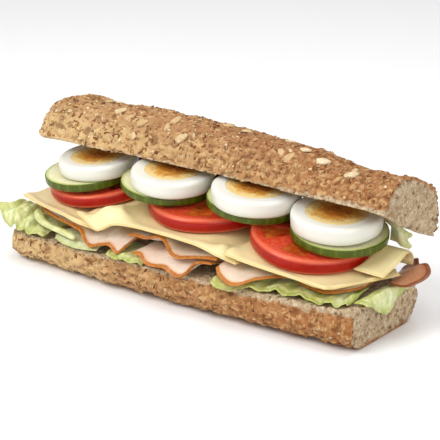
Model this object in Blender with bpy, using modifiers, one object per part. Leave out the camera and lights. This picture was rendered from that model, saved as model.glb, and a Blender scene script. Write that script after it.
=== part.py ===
"""Submarine sandwich on a split multigrain roll.

A length of roll is cut open.  Its lower half lies flat with the crust down and carries
lettuce, folded slices of cooked poultry, cheese, tomato, cucumber and egg.  Its upper half
lies tilted on the egg slices, set back so that the filling shows along the front.

Lengths below are in millimetres, and MM turns them into Blender's metres.
X runs along the roll, the open front faces -Y and Z points up.
"""
import math
import random

import bmesh
import bpy
from mathutils import Matrix, Vector, noise

MM = 0.001
GAP = 0.35              # clear space between neighbouring pieces

# Lower half of the roll
BASE_LEFT = -120.3
BASE_RIGHT = 106.0
BASE_FRONT = -42.0      # front face at mid length, the ends pull back
BASE_BACK = 24.0
BASE_FRONT_INSET = 1.2  # how far the cut face lies inside the front face
BASE_BACK_INSET = 10.0
BASE_BELLY = 3.0        # how far the front face bulges below the middle
BASE_PULL = 4.3         # how far the front face pulls back at the cut end
BASE_HEIGHT = 18.4      # at mid length
BASE_RISE = 2.9         # higher at the cut end, lower at the baked end
BASE_END_ROUND = 13.0
BASE_ROWS = 36
BASE_CRUST = 14         # points of a section on the crust and on the cut face
BASE_CUT = 7

# Upper half of the roll
TOP_LEFT = -120.5
TOP_RIGHT = 107.0
TOP_FRONT = -13.5       # y of the lower front edge of the crust
TOP_EDGE = 63.6         # z of that edge
TOP_WIDTH = 54.0
TOP_HEIGHT = 23.2       # dome over the cut plane at mid length
TOP_SWELL = 2.0         # more height towards the baked end
TOP_BOW = 2.9           # more height at mid length
TOP_CRAG = 2.6          # a lump of crust near the baked end
TOP_CRAG_PLACE = -99.0
TOP_SINK = 1.2          # less height just before the cut end
TOP_SAG = 1.8           # how far the cut face bulges down at the cut end
TOP_TILT = 22.0         # degrees, the open side faces down and forward
TOP_TWIST = 4.5         # more tilt at the cut end, less at the baked end
TOP_HOLLOW = 11.0       # how deep the filling presses into the crumb
TOP_DEEPEST = 0.58      # where across the cut face it presses deepest
TOP_END_ROUND = 15.0
TOP_ROWS = 38
TOP_AROUND = 18
TOP_UNDER = 7

# Crust relief
CRUST_LUMP = 0.9
CRUST_LUMP_SIZE = 11.0
CRUST_GRAIN = 0.45
CRUST_GRAIN_SIZE = 4.5

# Rolled oats on the crust
OAT_LENGTH = 8.0
OAT_WIDTH = 5.4
OAT_THICK = 2.0
OAT_SCATTER = 13

# Slices: centre x, y, z, radius, thickness, fall towards +X and towards the front in degrees
TOMATO_SLICES = (
    (-81.5, 3.0, 39.9, 29.8, 6.8, -3.0, 8.0),
    (-8.1, 2.3, 42.2, 32.6, 7.4, 1.5, 4.2),
    (59.1, -2.2, 38.4, 31.0, 7.4, 8.1, 5.2),
)
CUCUMBER_SLICES = (
    (-84.7, -6.1, 46.3, 23.4, 4.2, -2.4, 6.4),
    (-29.9, -5.2, 50.2, 25.0, 3.8, 5.0, 2.5),
    (23.7, -2.1, 50.6, 24.7, 3.8, 7.1, 1.8),
    (73.8, 0.1, 44.7, 24.3, 4.2, 6.2, 5.9),
)
EGG_SLICES = (
    (-79.5, -4.2, 53.25, 21.4, 7.6, -2.0, 5.6),
    (-23.7, -8.2, 56.9, 22.2, 8.2, 3.0, 4.6),
    (28.3, -6.9, 57.1, 22.3, 8.2, 5.0, 3.2),
    (73.6, -2.8, 52.0, 22.1, 8.2, 4.6, 5.4),
)
YOLK_SHARE = 0.70       # yolk radius over egg radius
EGG_STRETCH = 1.02      # how far from round an egg slice is
TURN_STEPS = 26         # corners round a tomato or cucumber slice
EGG_STEPS = 22

CHEESE_THICK = 1.8
HAM_THICK = 1.5
LEAF_THICK = 0.9
RIB_RADIUS = 2.2
LEAF_SPACE = 4.6        # height that the leaves fill over the lower half
RIGHT_CAP = 29.1        # height of the right cheese slice past the last tomato
RIGHT_CAP_START = 86.0  # x where that stretch begins
CURL_CUT = 106.4        # x of the cut edge of the folded cheese slice
FLOOR_MARGIN = 3.2      # how far past a tomato slice the layers stay flat
FLOOR_RISE = 0.045      # how fast they rise beyond that
FREE_HEIGHT = 60.0      # more than any layer under the tomatoes reaches

CRUST = (0.46, 0.27, 0.12)
BASE_CRUST_COLOUR = (0.50, 0.31, 0.15)
LEAF_GREEN = (0.45, 0.58, 0.16)
LEAF_PALE = (0.72, 0.78, 0.45)
HAM_PINK = (0.84, 0.66, 0.56)
CHEESE_YELLOW = (0.86, 0.72, 0.38)
TOMATO_RED = (0.62, 0.06, 0.02)
CUCUMBER_GREEN = (0.16, 0.28, 0.06)
EGG_WHITE = (0.88, 0.87, 0.82)
EGG_YOLK = (0.86, 0.52, 0.12)


def clear_scene():
    for item in list(bpy.data.objects):
        bpy.data.objects.remove(item, do_unlink=True)


def new_collection(name):
    group = bpy.data.collections.new(name)
    bpy.context.scene.collection.children.link(group)
    return group


def make_material(name, colour, roughness):
    material = bpy.data.materials.new(name)
    material.use_nodes = True
    shader = material.node_tree.nodes["Principled BSDF"]
    shader.inputs["Base Color"].default_value = (*colour, 1.0)
    shader.inputs["Roughness"].default_value = roughness
    shader.inputs["Metallic"].default_value = 0.0
    return material


def mesh_object(name, bm, group, material):
    """Turns a bmesh in millimetres into an object in metres."""
    bmesh.ops.scale(bm, vec=(MM, MM, MM), verts=bm.verts)
    mesh = bpy.data.meshes.new(name)
    bm.to_mesh(mesh)
    bm.free()
    mesh.shade_smooth()
    mesh.set_sharp_from_angle(angle=math.radians(40))
    item = bpy.data.objects.new(name, mesh)
    item.data.materials.append(material)
    group.objects.link(item)
    return item


def smooth_step(low, high, value):
    share = min(max((value - low) / (high - low), 0.0), 1.0)
    return share * share * (3.0 - 2.0 * share)


def mix(first, second, share):
    return first + (second - first) * share


def spline(points, share):
    """Point on a smooth curve through the given points, share runs from 0 to 1."""
    spans = len(points) - 1
    place = min(max(share, 0.0), 1.0) * spans
    index = min(int(place), spans - 1)
    t = place - index
    before = Vector(points[max(index - 1, 0)])
    start = Vector(points[index])
    end = Vector(points[index + 1])
    after = Vector(points[min(index + 2, spans)])
    return 0.5 * (2.0 * start + (end - before) * t
                  + (2.0 * before - 5.0 * start + 4.0 * end - after) * t * t
                  + (3.0 * start - before - 3.0 * end + after) * t * t * t)


def crust_relief(point, seed):
    place = Vector(point) + Vector((seed, seed * 1.7, seed * 0.6))
    lump = noise.noise(place / CRUST_LUMP_SIZE) * CRUST_LUMP
    grain = noise.noise(place / CRUST_GRAIN_SIZE) * CRUST_GRAIN
    return lump + grain


def loft(rings):
    """Closed body through equal rings of points, with a fan over each end."""
    bm = bmesh.new()
    rows = [[bm.verts.new(point) for point in ring] for ring in rings]
    count = len(rings[0])
    for row, following in zip(rows, rows[1:]):
        for k in range(count):
            after = (k + 1) % count
            bm.faces.new((row[k], row[after], following[after], following[k]))
    for row in (rows[0], rows[-1]):
        middle = sum((corner.co for corner in row), Vector()) / count
        hub = bm.verts.new(middle)
        for k in range(count):
            bm.faces.new((hub, row[k], row[(k + 1) % count]))
    bmesh.ops.recalc_face_normals(bm, faces=bm.faces)
    return bm


def rough_crust(bm, seed, crust_share):
    """Pushes each point along its normal by the crust's relief."""
    bm.normal_update()
    moves = []
    for corner in bm.verts:
        strength = crust_share(corner.co)
        moves.append(corner.normal * (crust_relief(corner.co, seed) * strength))
    for corner, move in zip(bm.verts, moves):
        corner.co += move


def end_scale(x, tip, round_length, fullness):
    """Share of the full section left near a baked, rounded end."""
    inside = min(max((x - tip) / round_length, 0.0), 1.0)
    return max((1.0 - (1.0 - inside) ** fullness) ** (1.0 / fullness), 0.02)


def stations(start, end, round_length, rows):
    """Rows along X, closer together over the rounded end."""
    near = 6
    places = [start + round_length * (k / near) ** 1.7 for k in range(near)]
    step = (end - start - round_length) / (rows - near - 1)
    places += [start + round_length + step * k for k in range(rows - near)]
    return places


def base_top(x):
    """Height of the lower half's cut face."""
    along = x / BASE_RIGHT
    return BASE_HEIGHT + BASE_RISE * along


def base_front(x):
    return BASE_FRONT + BASE_PULL * (x / BASE_RIGHT) ** 2


def base_ring(x):
    """Section: a steep front face, a flat underside and a rounder back under the cut face."""
    scale = end_scale(x, BASE_LEFT, BASE_END_ROUND, 2.4)
    height = base_top(x) * mix(0.75, 1.0, scale)
    front = base_front(x)
    middle = (front + BASE_BACK) / 2.0
    half = (BASE_BACK - front) / 2.0 * mix(0.45, 1.0, scale)
    back_inset = BASE_BACK_INSET * mix(0.3, 1.0, scale)
    ring = []
    for k in range(BASE_CRUST):
        angle = math.pi * k / (BASE_CRUST - 1)
        side = -math.cos(angle)
        z = height * (1.0 - 1.08 * abs(math.sin(angle)) ** 0.8)
        if side < 0.0:
            inset = BASE_FRONT_INSET * smooth_step(0.75 * height, height, z)
            belly = BASE_BELLY * scale * math.sin(math.pi * min(max(z, 0.0) / (0.8 * height), 1.0))
            y = middle - abs(side) ** 0.42 * (half - inset) - belly
        else:
            inset = back_inset * max(2.0 * z / height - 1.0, 0.0) ** 2
            y = middle + side ** 0.55 * half - inset
        ring.append((x, y, max(z, 0.0)))
    for k in range(1, BASE_CUT + 1):
        share = 1.0 - k / (BASE_CUT + 1)
        y = mix(middle - half + BASE_FRONT_INSET, middle + half - back_inset, share)
        ring.append((x, y, height - 0.7 * math.sin(math.pi * share)))
    return ring


def build_base(group, material):
    rings = [base_ring(x) for x in stations(BASE_LEFT, BASE_RIGHT, BASE_END_ROUND, BASE_ROWS)]
    bm = loft(rings)

    def crust_share(place):
        side = smooth_step(0.2, 3.0, place.z)
        below_cut = 1.0 - smooth_step(0.80, 0.98, place.z / base_top(place.x))
        return side * mix(0.35, 1.0, below_cut)

    rough_crust(bm, 3.0, crust_share)
    for corner in bm.verts:
        corner.co.z = max(corner.co.z, 0.0)
    return mesh_object("bread_bottom", bm, group, material)


def top_frame(x):
    """Lower front edge, cut direction, outward normal and sizes of the upper half at x."""
    along = x / TOP_RIGHT
    tilt = math.radians(TOP_TILT + TOP_TWIST * along)
    edge_z = TOP_EDGE + 0.6 * math.sin(math.pi * (along + 0.55))
    edge = Vector((x, TOP_FRONT, edge_z))
    across = Vector((0.0, math.cos(tilt), -math.sin(tilt)))
    up = Vector((0.0, math.sin(tilt), math.cos(tilt)))
    taller = TOP_SWELL * smooth_step(0.4, -0.7, along)
    taller += TOP_BOW * smooth_step(-95.0, -45.0, x) * smooth_step(78.0, 42.0, x)
    taller += TOP_CRAG * math.exp(-((x - TOP_CRAG_PLACE) / 6.5) ** 2)
    taller -= TOP_SINK * smooth_step(50.0, 80.0, x) * smooth_step(TOP_RIGHT, 96.0, x)
    return edge, across, up, TOP_HEIGHT + taller


def top_dome_point(x, share):
    """Point on the crust, share runs from the lower front edge to the back edge."""
    edge, across, up, height = top_frame(x)
    scale = end_scale(x, TOP_LEFT, TOP_END_ROUND, 2.2)
    angle = math.pi * share
    side = -math.copysign(abs(math.cos(angle)) ** 0.65, math.cos(angle))
    rise = abs(math.sin(angle)) ** 0.8
    half = TOP_WIDTH / 2.0
    middle = edge + across * half + up * (height * 0.08 * (1.0 - scale))
    return middle + across * (side * half * mix(0.5, 1.0, scale)) + up * (rise * height * scale)


def hollow_depth(x, share):
    """Depth of the press into the cut face, none at the ends and the edges."""
    ends = smooth_step(TOP_RIGHT, TOP_RIGHT - 16.0, x) * smooth_step(TOP_LEFT + 6.0, TOP_LEFT + 26.0, x)
    if share < TOP_DEEPEST:
        profile = share / TOP_DEEPEST
    else:
        profile = (1.0 - share) / (1.0 - TOP_DEEPEST)
    sag = TOP_SAG * smooth_step(TOP_RIGHT - 12.0, TOP_RIGHT, x) * math.sin(math.pi * share)
    return TOP_HOLLOW * ends * math.sin(profile * math.pi / 2.0) - sag


def top_ring(x):
    ring = [top_dome_point(x, k / (TOP_AROUND - 1)) for k in range(TOP_AROUND)]
    up = top_frame(x)[2]
    front = ring[0]
    back = ring[-1]
    for k in range(1, TOP_UNDER + 1):
        share = 1.0 - k / (TOP_UNDER + 1)
        ring.append(front.lerp(back, share) + up * hollow_depth(x, share))
    return ring


def oat_places():
    """Where the oats lie: x, share around the dome and turn in degrees."""
    shown = (
        (-67.0, 0.29, 25.0), (-58.0, 0.23, 35.0), (-48.0, 0.20, 20.0), (-30.0, 0.30, 75.0),
        (-32.0, 0.21, 110.0), (-20.0, 0.15, 40.0), (-5.0, 0.45, 40.0), (45.0, 0.20, 60.0),
        (49.0, 0.34, 15.0), (35.0, 0.44, 30.0), (63.0, 0.27, 20.0), (81.0, 0.23, 35.0),
        (-106.0, 0.47, 60.0), (-84.0, 0.44, 70.0), (10.0, 0.40, 10.0),
    )
    chance = random.Random(14)
    spread = []
    for k in range(OAT_SCATTER):
        x = mix(TOP_LEFT + 22.0, TOP_RIGHT - 12.0, (k + 0.5) / OAT_SCATTER) + chance.uniform(-4, 4)
        spread.append((x, chance.uniform(0.52, 0.86), chance.uniform(0.0, 180.0)))
    return list(shown) + spread


def oat_flake(name, place, across, along, turn, group, material):
    normal = across.cross(along).normalized()
    side = normal.cross(along).normalized()
    bm = bmesh.new()
    bmesh.ops.create_uvsphere(bm, u_segments=6, v_segments=3, radius=0.5)
    basis = Matrix((along.normalized(), side, normal)).transposed().to_4x4()
    shape = Matrix.Diagonal((OAT_LENGTH, OAT_WIDTH, OAT_THICK, 1.0))
    spin = Matrix.Rotation(math.radians(turn), 4, "Z")
    bmesh.ops.transform(bm, matrix=Matrix.Translation(place) @ basis @ spin @ shape, verts=bm.verts)
    return mesh_object(name, bm, group, material)


def join_flakes(body, flakes, group):
    """One Boolean union fuses the flakes to the crust, and their objects are removed."""
    union = body.modifiers.new("flakes", "BOOLEAN")
    union.operation = "UNION"
    union.operand_type = "COLLECTION"
    union.collection = group
    union.solver = "MANIFOLD"
    bpy.context.view_layer.update()
    graph = bpy.context.evaluated_depsgraph_get()
    joined = bpy.data.meshes.new_from_object(body.evaluated_get(graph))
    body.modifiers.clear()
    body.data = joined
    for flake in flakes:
        bpy.data.objects.remove(flake, do_unlink=True)


def build_top(group, flake_group, material):
    rings = [top_ring(x) for x in stations(TOP_LEFT, TOP_RIGHT, TOP_END_ROUND, TOP_ROWS)]
    bm = loft(rings)

    def crust_share(place):
        edge, across, up, height = top_frame(place.x)
        rise = (place - edge).dot(up)
        return mix(0.15, 1.0, smooth_step(0.5, 5.0, rise)) * smooth_step(TOP_RIGHT, TOP_RIGHT - 3.0, place.x)

    rough_crust(bm, 9.0, crust_share)
    top = mesh_object("bread_top", bm, group, material)
    flakes = []
    for index, (x, share, turn) in enumerate(oat_places()):
        place = top_dome_point(x, share)
        along = top_dome_point(x + 1.0, share) - top_dome_point(x - 1.0, share)
        across = top_dome_point(x, share + 0.01) - top_dome_point(x, share - 0.01)
        flakes.append(oat_flake(f"flake_{index}", place, across, along, turn, flake_group, material))
    join_flakes(top, flakes, flake_group)
    return top


def slice_matrix(x, y, z, fall_right, fall_front):
    """Places a flat slice, tipped down towards +X and towards the front."""
    rise = Vector((-math.tan(math.radians(fall_right)), math.tan(math.radians(fall_front))))
    normal = Vector((-rise.x, -rise.y, 1.0)).normalized()
    turn = Vector((0.0, 0.0, 1.0)).rotation_difference(normal).to_matrix().to_4x4()
    return Matrix.Translation(Vector((x, y, z)) * MM) @ turn


def turned(name, profile, steps, matrix, stretch, group, material):
    """Solid of revolution from a profile of radius and height, listed from top to bottom."""
    closed = profile[0][0] > 0.0
    bm = bmesh.new()
    corners = [bm.verts.new((radius, 0.0, height)) for radius, height in profile]
    for first, second in zip(corners, corners[1:]):
        bm.edges.new((first, second))
    if closed:
        bm.edges.new((corners[-1], corners[0]))
    item = mesh_object(name, bm, group, material)
    screw = item.modifiers.new("turn", "SCREW")
    screw.axis = "Z"
    screw.steps = steps
    screw.render_steps = steps
    screw.use_merge_vertices = True
    screw.merge_threshold = 0.00005
    screw.use_smooth_shade = True
    item.matrix_world = matrix @ Matrix.Diagonal((stretch, 1.0 / stretch, 1.0, 1.0))
    return item


def round_slice_profile(radius, thick, edge, bulge):
    half = thick / 2.0
    return (
        (0.0, half), (radius - edge, half), (radius, half - edge * bulge),
        (radius, -half + edge * bulge), (radius - edge, -half), (0.0, -half),
    )


def build_round_slices(group, tomato, cucumber):
    for index, (x, y, z, radius, thick, right, front) in enumerate(TOMATO_SLICES, start=1):
        profile = round_slice_profile(radius, thick, 1.6, 1.3)
        matrix = slice_matrix(x, y, z, right, front)
        turned(f"tomato_{index}", profile, TURN_STEPS, matrix, 1.0, group, tomato)
    for index, (x, y, z, radius, thick, right, front) in enumerate(CUCUMBER_SLICES, start=1):
        profile = round_slice_profile(radius, thick, 0.5, 0.8)
        matrix = slice_matrix(x, y, z, right, front)
        turned(f"cucumber_{index}", profile, TURN_STEPS, matrix, 1.0, group, cucumber)


def build_eggs(group, white, yolk):
    for index, (x, y, z, radius, thick, right, front) in enumerate(EGG_SLICES, start=1):
        matrix = slice_matrix(x, y, z, right, front)
        half = thick / 2.0
        inner = radius * YOLK_SHARE
        ring = (
            (inner, half - 0.3), (radius - 2.6, half), (radius - 0.6, half - 1.6),
            (radius, 0.7 - half), (radius - 0.7, -half), (inner, -half),
        )
        turned(f"egg_white_{index}", ring, EGG_STEPS, matrix, EGG_STRETCH, group, white)
        core = inner - GAP
        dome = (
            (0.0, half - 0.5), (core - 1.2, half - 0.3), (core, half - 1.0),
            (core, 0.6 - half), (core - 1.2, -half), (0.0, -half),
        )
        turned(f"egg_yolk_{index}", dome, EGG_STEPS, matrix, EGG_STRETCH, group, yolk)


def tomato_floor(x, y):
    """Height of the undersides of the tomato slices, rising smoothly away from them."""
    lowest = FREE_HEIGHT
    for cx, cy, cz, radius, thick, right, front in TOMATO_SLICES:
        plane = cz - thick / 2.0 / math.cos(math.radians(7.0))
        plane -= math.tan(math.radians(right)) * (x - cx)
        plane += math.tan(math.radians(front)) * (y - cy)
        outside = max(math.hypot(x - cx, y - cy) - radius - FLOOR_MARGIN, 0.0)
        lowest = min(lowest, plane + FLOOR_RISE * outside * outside)
    return lowest


def sheet(name, place, across, along, thick, group, material):
    """Thin wavy solid over place(u, v), both faces split into triangles alike."""
    bm = bmesh.new()
    rows = [[bm.verts.new(place(u, v)) for u in across] for v in along]
    for row, following in zip(rows, rows[1:]):
        for k in range(len(row) - 1):
            bm.faces.new((row[k], row[k + 1], following[k + 1], following[k]))
    bmesh.ops.triangulate(bm, faces=bm.faces, quad_method="ALTERNATE")
    item = mesh_object(name, bm, group, material)
    skin = item.modifiers.new("thickness", "SOLIDIFY")
    skin.thickness = thick * MM
    skin.offset = 0.0
    return item


def even(count):
    return [k / count for k in range(count + 1)]


def between_layers(x, y, share):
    """Height between the leaves on the roll and the underside of the cheese."""
    low = base_top(x) + LEAF_SPACE
    high = tomato_floor(x, y) - 2.0 * (CHEESE_THICK + GAP) - 1.4
    high = min(high, right_cheese_cap(x) - 2.5)
    return mix(low, max(high, low), share)


def right_cheese_cap(x):
    """Highest the right cheese slice lies past the last tomato, where it sinks to its edge."""
    return FREE_HEIGHT if x < RIGHT_CAP_START else RIGHT_CAP - 0.02 * (x - RIGHT_CAP_START)


def cheese_height(x, y):
    return tomato_floor(x, y) - GAP - CHEESE_THICK / 2.0 - 0.4


def cheese_slice(name, front, back, lower, cap, group, material):
    """Slice from a front edge to a back edge, draped under the tomatoes."""

    def place(u, v):
        near = spline(front, u)
        far = spline(back, u)
        x = mix(near.x, far.x, v)
        y = mix(near.y, far.y, v)
        flat = min(cheese_height(x, y) - lower(x), cap(x))
        return (x, y, mix(near.z, flat, smooth_step(0.0, 0.13, v)))

    along = [0.0, 0.06, 0.13, 0.24, 0.42, 0.68, 1.0]
    return sheet(name, place, even(11), along, CHEESE_THICK, group, material)


def build_cheese(group, material):
    layer = CHEESE_THICK + GAP
    cheese_slice(
        "cheese_1",
        ((-114.4, -26.5, 32.8), (-104.5, -29.5, 32.4), (-94.6, -32.2, 32.0),
         (-77.0, -36.1, 31.6), (-64.8, -38.6, 30.6), (-54.8, -37.4, 29.0)),
        ((-114.0, 31.0, 0.0), (-84.0, 33.0, 0.0), (-56.0, 33.0, 0.0)),
        lambda x: (layer + 0.4) * smooth_step(-84.0, -72.0, x),
        lambda x: 33.4,
        group, material)
    cheese_slice(
        "cheese_2",
        ((-69.0, -33.5, 34.2), (-58.0, -38.6, 32.6), (-48.5, -41.0, 30.6), (-40.5, -38.6, 34.4),
         (-29.0, -38.0, 35.8), (-8.0, -38.0, 36.0), (14.0, -38.0, 35.0), (27.0, -37.8, 32.2),
         (38.0, -37.4, 30.4)),
        ((-62.0, 33.0, 0.0), (-12.0, 36.0, 0.0), (38.0, 30.0, 0.0)),
        lambda x: (layer + 1.3) * smooth_step(11.0, 26.0, x),
        lambda x: 40.0,
        group, material)
    cheese_slice(
        "cheese_3",
        ((31.0, -38.0, 34.2), (44.0, -38.2, 33.0), (58.0, -38.2, 32.0), (72.0, -38.4, 31.4),
         (82.0, -38.2, 30.7), (90.5, -37.6, 29.8)),
        ((36.0, 26.0, 0.0), (70.0, 26.5, 0.0), (107.5, 2.0, 0.0)),
        lambda x: 0.0,
        right_cheese_cap,
        group, material)


def build_curled_cheese(group, material):
    """Slice that rises from the tomato towards the back and folds over, cut off with the roll."""
    profile = (
        (-11.5, 31.4), (-4.0, 33.2), (3.0, 35.4), (9.0, 37.4), (13.0, 37.0),
        (15.4, 34.0), (15.3, 31.8), (14.9, 30.3),
    )
    cx, cy, radius = TOMATO_SLICES[2][0], TOMATO_SLICES[2][1], TOMATO_SLICES[2][3]

    def place(u, v):
        y, z = profile_point(profile, u)
        tomato_edge = cx + math.sqrt(radius ** 2 - (y - cy) ** 2) + 1.3
        inner = mix(tomato_edge, 94.5, smooth_step(0.45, 0.65, u))
        return (mix(CURL_CUT, inner, v), y, z + 0.6 * v * (1.0 - u))

    return sheet("cheese_4", place, even(16), even(3), CHEESE_THICK, group, material)


def profile_point(profile, share):
    point = spline([(x, 0.0, z) for x, z in profile], share)
    return point.x, point.z


def ham_slice(name, front, back_y, share, group, material):
    """Folded slice: its front rim follows the given points, its rest lies between layers."""
    count = len(front)

    def place(u, v):
        near = spline(front, u)
        y = mix(near.y, back_y, v)
        ripple = 0.35 * math.sin(u * count * 1.9 + 2.2 * v)
        flat = between_layers(near.x, y, share) + ripple
        return (near.x, y, mix(near.z, flat, smooth_step(0.0, 0.24, v)))

    along = [0.0, 0.07, 0.16, 0.3, 0.6, 1.0]
    return sheet(name, place, even(2 * count - 2), along, HAM_THICK, group, material)


def build_ham(group, material):
    ham_slice(
        "ham_1",
        ((-99.0, -28.0, 29.0), (-93.7, -30.6, 28.3), (-80.4, -34.3, 27.4), (-70.1, -36.2, 26.8),
         (-63.5, -37.4, 25.6), (-59.8, -39.5, 22.8), (-53.9, -41.4, 20.4), (-47.6, -41.0, 22.4),
         (-41.0, -41.0, 23.8), (-35.4, -41.6, 20.8), (-31.8, -39.2, 24.8)),
        20.0, 0.45, group, material)
    ham_slice(
        "ham_2",
        ((-25.0, -41.0, 23.2), (-19.5, -42.0, 23.4), (-14.2, -44.0, 21.0), (-8.1, -44.4, 20.6),
         (-1.9, -44.8, 21.6), (3.4, -45.6, 20.2), (8.4, -46.2, 19.4), (12.4, -45.0, 21.8),
         (15.6, -41.0, 26.6), (23.8, -38.6, 27.4)),
        18.0, 0.15, group, material)
    ham_slice(
        "ham_3",
        ((-31.0, -37.0, 30.6), (-24.8, -37.6, 31.4), (-18.9, -38.0, 31.6), (-12.2, -36.0, 33.2),
         (-6.6, -37.4, 32.0), (-2.3, -39.0, 27.6), (3.0, -39.6, 26.4), (10.6, -39.4, 28.0),
         (19.0, -39.0, 29.6), (26.0, -37.4, 29.8)),
        24.0, 0.62, group, material)
    ham_slice(
        "ham_4",
        ((27.0, -38.4, 26.6), (31.6, -42.6, 24.4), (39.8, -45.4, 22.6), (45.4, -44.6, 23.5),
         (50.8, -40.8, 25.8), (57.0, -34.6, 26.8), (64.0, -29.0, 26.8)),
        20.0, 0.5, group, material)
    ham_slice(
        "ham_5",
        ((70.0, -29.0, 25.3), (80.0, -31.4, 25.2), (88.0, -31.6, 25.3), (94.0, -25.0, 25.3),
         (98.0, -16.0, 25.3)),
        14.0, 0.5, group, material)


def build_ham_end(group, material):
    """Browned end of a slice that stands out past the cut end."""
    inner = ((99.4, 19.5, 26.2), (100.5, 14.0, 25.4), (102.5, 6.0, 25.2), (105.0, -3.0, 25.2))
    outer = ((104.5, 20.5, 31.0), (107.3, 19.0, 32.0), (109.8, 15.8, 30.8), (115.0, 14.4, 32.6),
             (119.8, 9.5, 31.0), (120.6, 4.0, 29.2), (117.0, -3.8, 27.0))

    def place(u, v):
        near = spline(inner, u)
        far = spline(outer, u)
        point = near.lerp(far, v)
        point.z -= 0.45 * math.sin(math.pi * v) * (1.0 + math.sin(u * 7.0))
        return point

    return sheet("ham_6", place, even(14), even(4), HAM_THICK, group, material)


def leaf(name, near_edge, far_edge, height, ruffle, waves, group, material, columns=20, calm=1.0,
         roll=0.0, lobe=0.0):
    """Wavy leaf between two edges, most ruffled along the near edge."""

    def place(u, v):
        point = spline(near_edge, u).lerp(spline(far_edge, u), v)
        point.z = mix(spline(near_edge, u).z, spline(far_edge, u).z, smooth_step(0.0, 0.16, v))
        turn = 2.0 * math.pi * waves * u
        phase = turn + 0.7 * math.sin(0.37 * turn + 1.0) + 1.3 * math.sin(5.0 * v)
        fade = mix(1.0, 0.35, v) * mix(1.0, calm, u)
        point.z += ruffle * fade * (math.sin(phase) + 0.3 * math.sin(2.3 * turn))
        point.z += height * mix(1.0, calm, u) * math.sin(math.pi * v)
        point.y += roll * fade * math.cos(phase)
        point.x -= lobe * (1.0 - u) ** 4 * math.exp(-((v - 0.12) / 0.16) ** 2)
        return point

    along = [0.0, 0.1, 0.24, 0.45, 0.7, 1.0]
    return sheet(name, place, even(columns), along, LEAF_THICK, group, material)


def build_leaves(group, green, pale):
    leaf("lettuce_1",
         ((-113.5, -38.6, 21.6), (-107.0, -41.0, 20.6), (-99.0, -41.0, 19.2), (-88.0, -40.0, 18.4)),
         ((-118.5, -20.0, 25.5), (-112.0, -14.0, 24.6), (-102.0, -10.0, 20.6), (-88.0, -8.0, 19.2)),
         3.0, 2.3, 3.6, group, green, columns=22, calm=0.25, roll=1.6, lobe=9.0)
    leaf("lettuce_2",
         ((-81.0, -38.2, 18.3), (-72.0, -41.2, 18.0), (-60.0, -41.8, 18.2), (-50.0, -40.6, 18.6)),
         ((-81.0, -24.0, 20.2), (-72.0, -22.0, 20.2), (-60.0, -20.0, 19.8), (-50.0, -20.0, 19.8)),
         0.3, 0.3, 1.3, group, pale, columns=11)
    leaf("lettuce_3",
         ((-42.0, -42.6, 18.8), (-34.0, -43.0, 18.7), (-26.0, -43.2, 18.9), (-18.0, -42.6, 19.4)),
         ((-42.0, -22.0, 20.0), (-34.0, -22.0, 20.0), (-26.0, -22.0, 20.2), (-18.0, -22.0, 20.4)),
         0.2, 0.5, 2.6, group, green, columns=11)
    leaf("lettuce_4",
         ((27.0, -44.8, 19.5), (40.0, -44.8, 20.0), (52.0, -41.0, 21.8), (64.0, -38.4, 22.2),
          (76.0, -38.0, 22.5), (88.0, -37.8, 22.7), (96.0, -36.6, 22.8), (101.0, -33.5, 22.9)),
         ((27.0, -14.0, 21.1), (40.0, -12.0, 21.5), (52.0, -10.0, 21.9), (64.0, -8.0, 22.2),
          (76.0, -6.0, 22.4), (86.0, -6.0, 22.6), (93.0, -8.0, 22.8), (97.5, -10.0, 22.9)),
         0.3, 0.95, 5.4, group, green, columns=30, roll=0.8)


def build_leaf_rib(group, material):
    """Rolled rib of a leaf, a tapered rod that lies along the front of the lower half."""
    route = ((-102.6, -28.2, 26.7), (-94.0, -34.6, 25.0), (-84.5, -38.2, 24.3), (-75.0, -38.8, 23.4),
             (-64.5, -40.6, 22.6))
    curve = bpy.data.curves.new("lettuce_7", "CURVE")
    curve.dimensions = "3D"
    curve.bevel_depth = RIB_RADIUS * MM
    curve.bevel_resolution = 2
    curve.use_fill_caps = True
    line = curve.splines.new("POLY")
    count = 14
    line.points.add(count - 1)
    for k, point in enumerate(line.points):
        share = k / (count - 1)
        point.co = (*(spline(route, share) * MM), 1.0)
        point.radius = mix(1.0, 0.72, share) * (1.0 + 0.10 * math.sin(9.0 * share))
    item = bpy.data.objects.new("lettuce_7", curve)
    curve.materials.append(material)
    group.objects.link(item)
    return item


def build_end_leaf(group, material):
    """Leaf that lies over the cut end of the lower half, with a ragged lower edge."""
    hem = ((-29.0, 22.6), (-25.0, 21.0), (-20.5, 18.4), (-15.0, 14.6), (-9.0, 12.8),
           (-3.4, 16.0), (0.5, 18.8), (5.0, 20.4), (10.0, 20.4))

    def place(u, v):
        y, low = profile_point(hem, u)
        path = spline(((101.6, y, 22.7), (104.6, y, 23.2), (107.6, y, 23.3), (108.5, y, low)), v)
        swing = math.sin(2.0 * math.pi * 2.6 * u)
        return (path.x + 0.5 * swing * v, y, path.z + 0.35 * swing * v)

    return sheet("lettuce_5", place, even(12), even(5), LEAF_THICK, group, material)


def build_back_leaf(group, material):
    """Leaf that stands behind the last egg slice, between the cheese and the upper half."""

    def place(u, v):
        left = mix(93.8, 90.2, smooth_step(0.56, 0.74, v))
        x = mix(left, 108.0, u) + 1.2 * math.sin(9.0 * v) * u
        y = mix(14.8, 8.6, u) + 0.9 * math.sin(7.0 * u + 1.5 * v)
        hollow = hollow_depth(x, (y - TOP_FRONT) / TOP_WIDTH)
        highest = min(TOP_EDGE - 0.5 * (y - TOP_FRONT) + 0.85 * hollow - 1.9, 52.0)
        return (x, y, mix(40.4, highest, v))

    return sheet("lettuce_6", place, even(10), even(7), LEAF_THICK, group, material)


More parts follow.
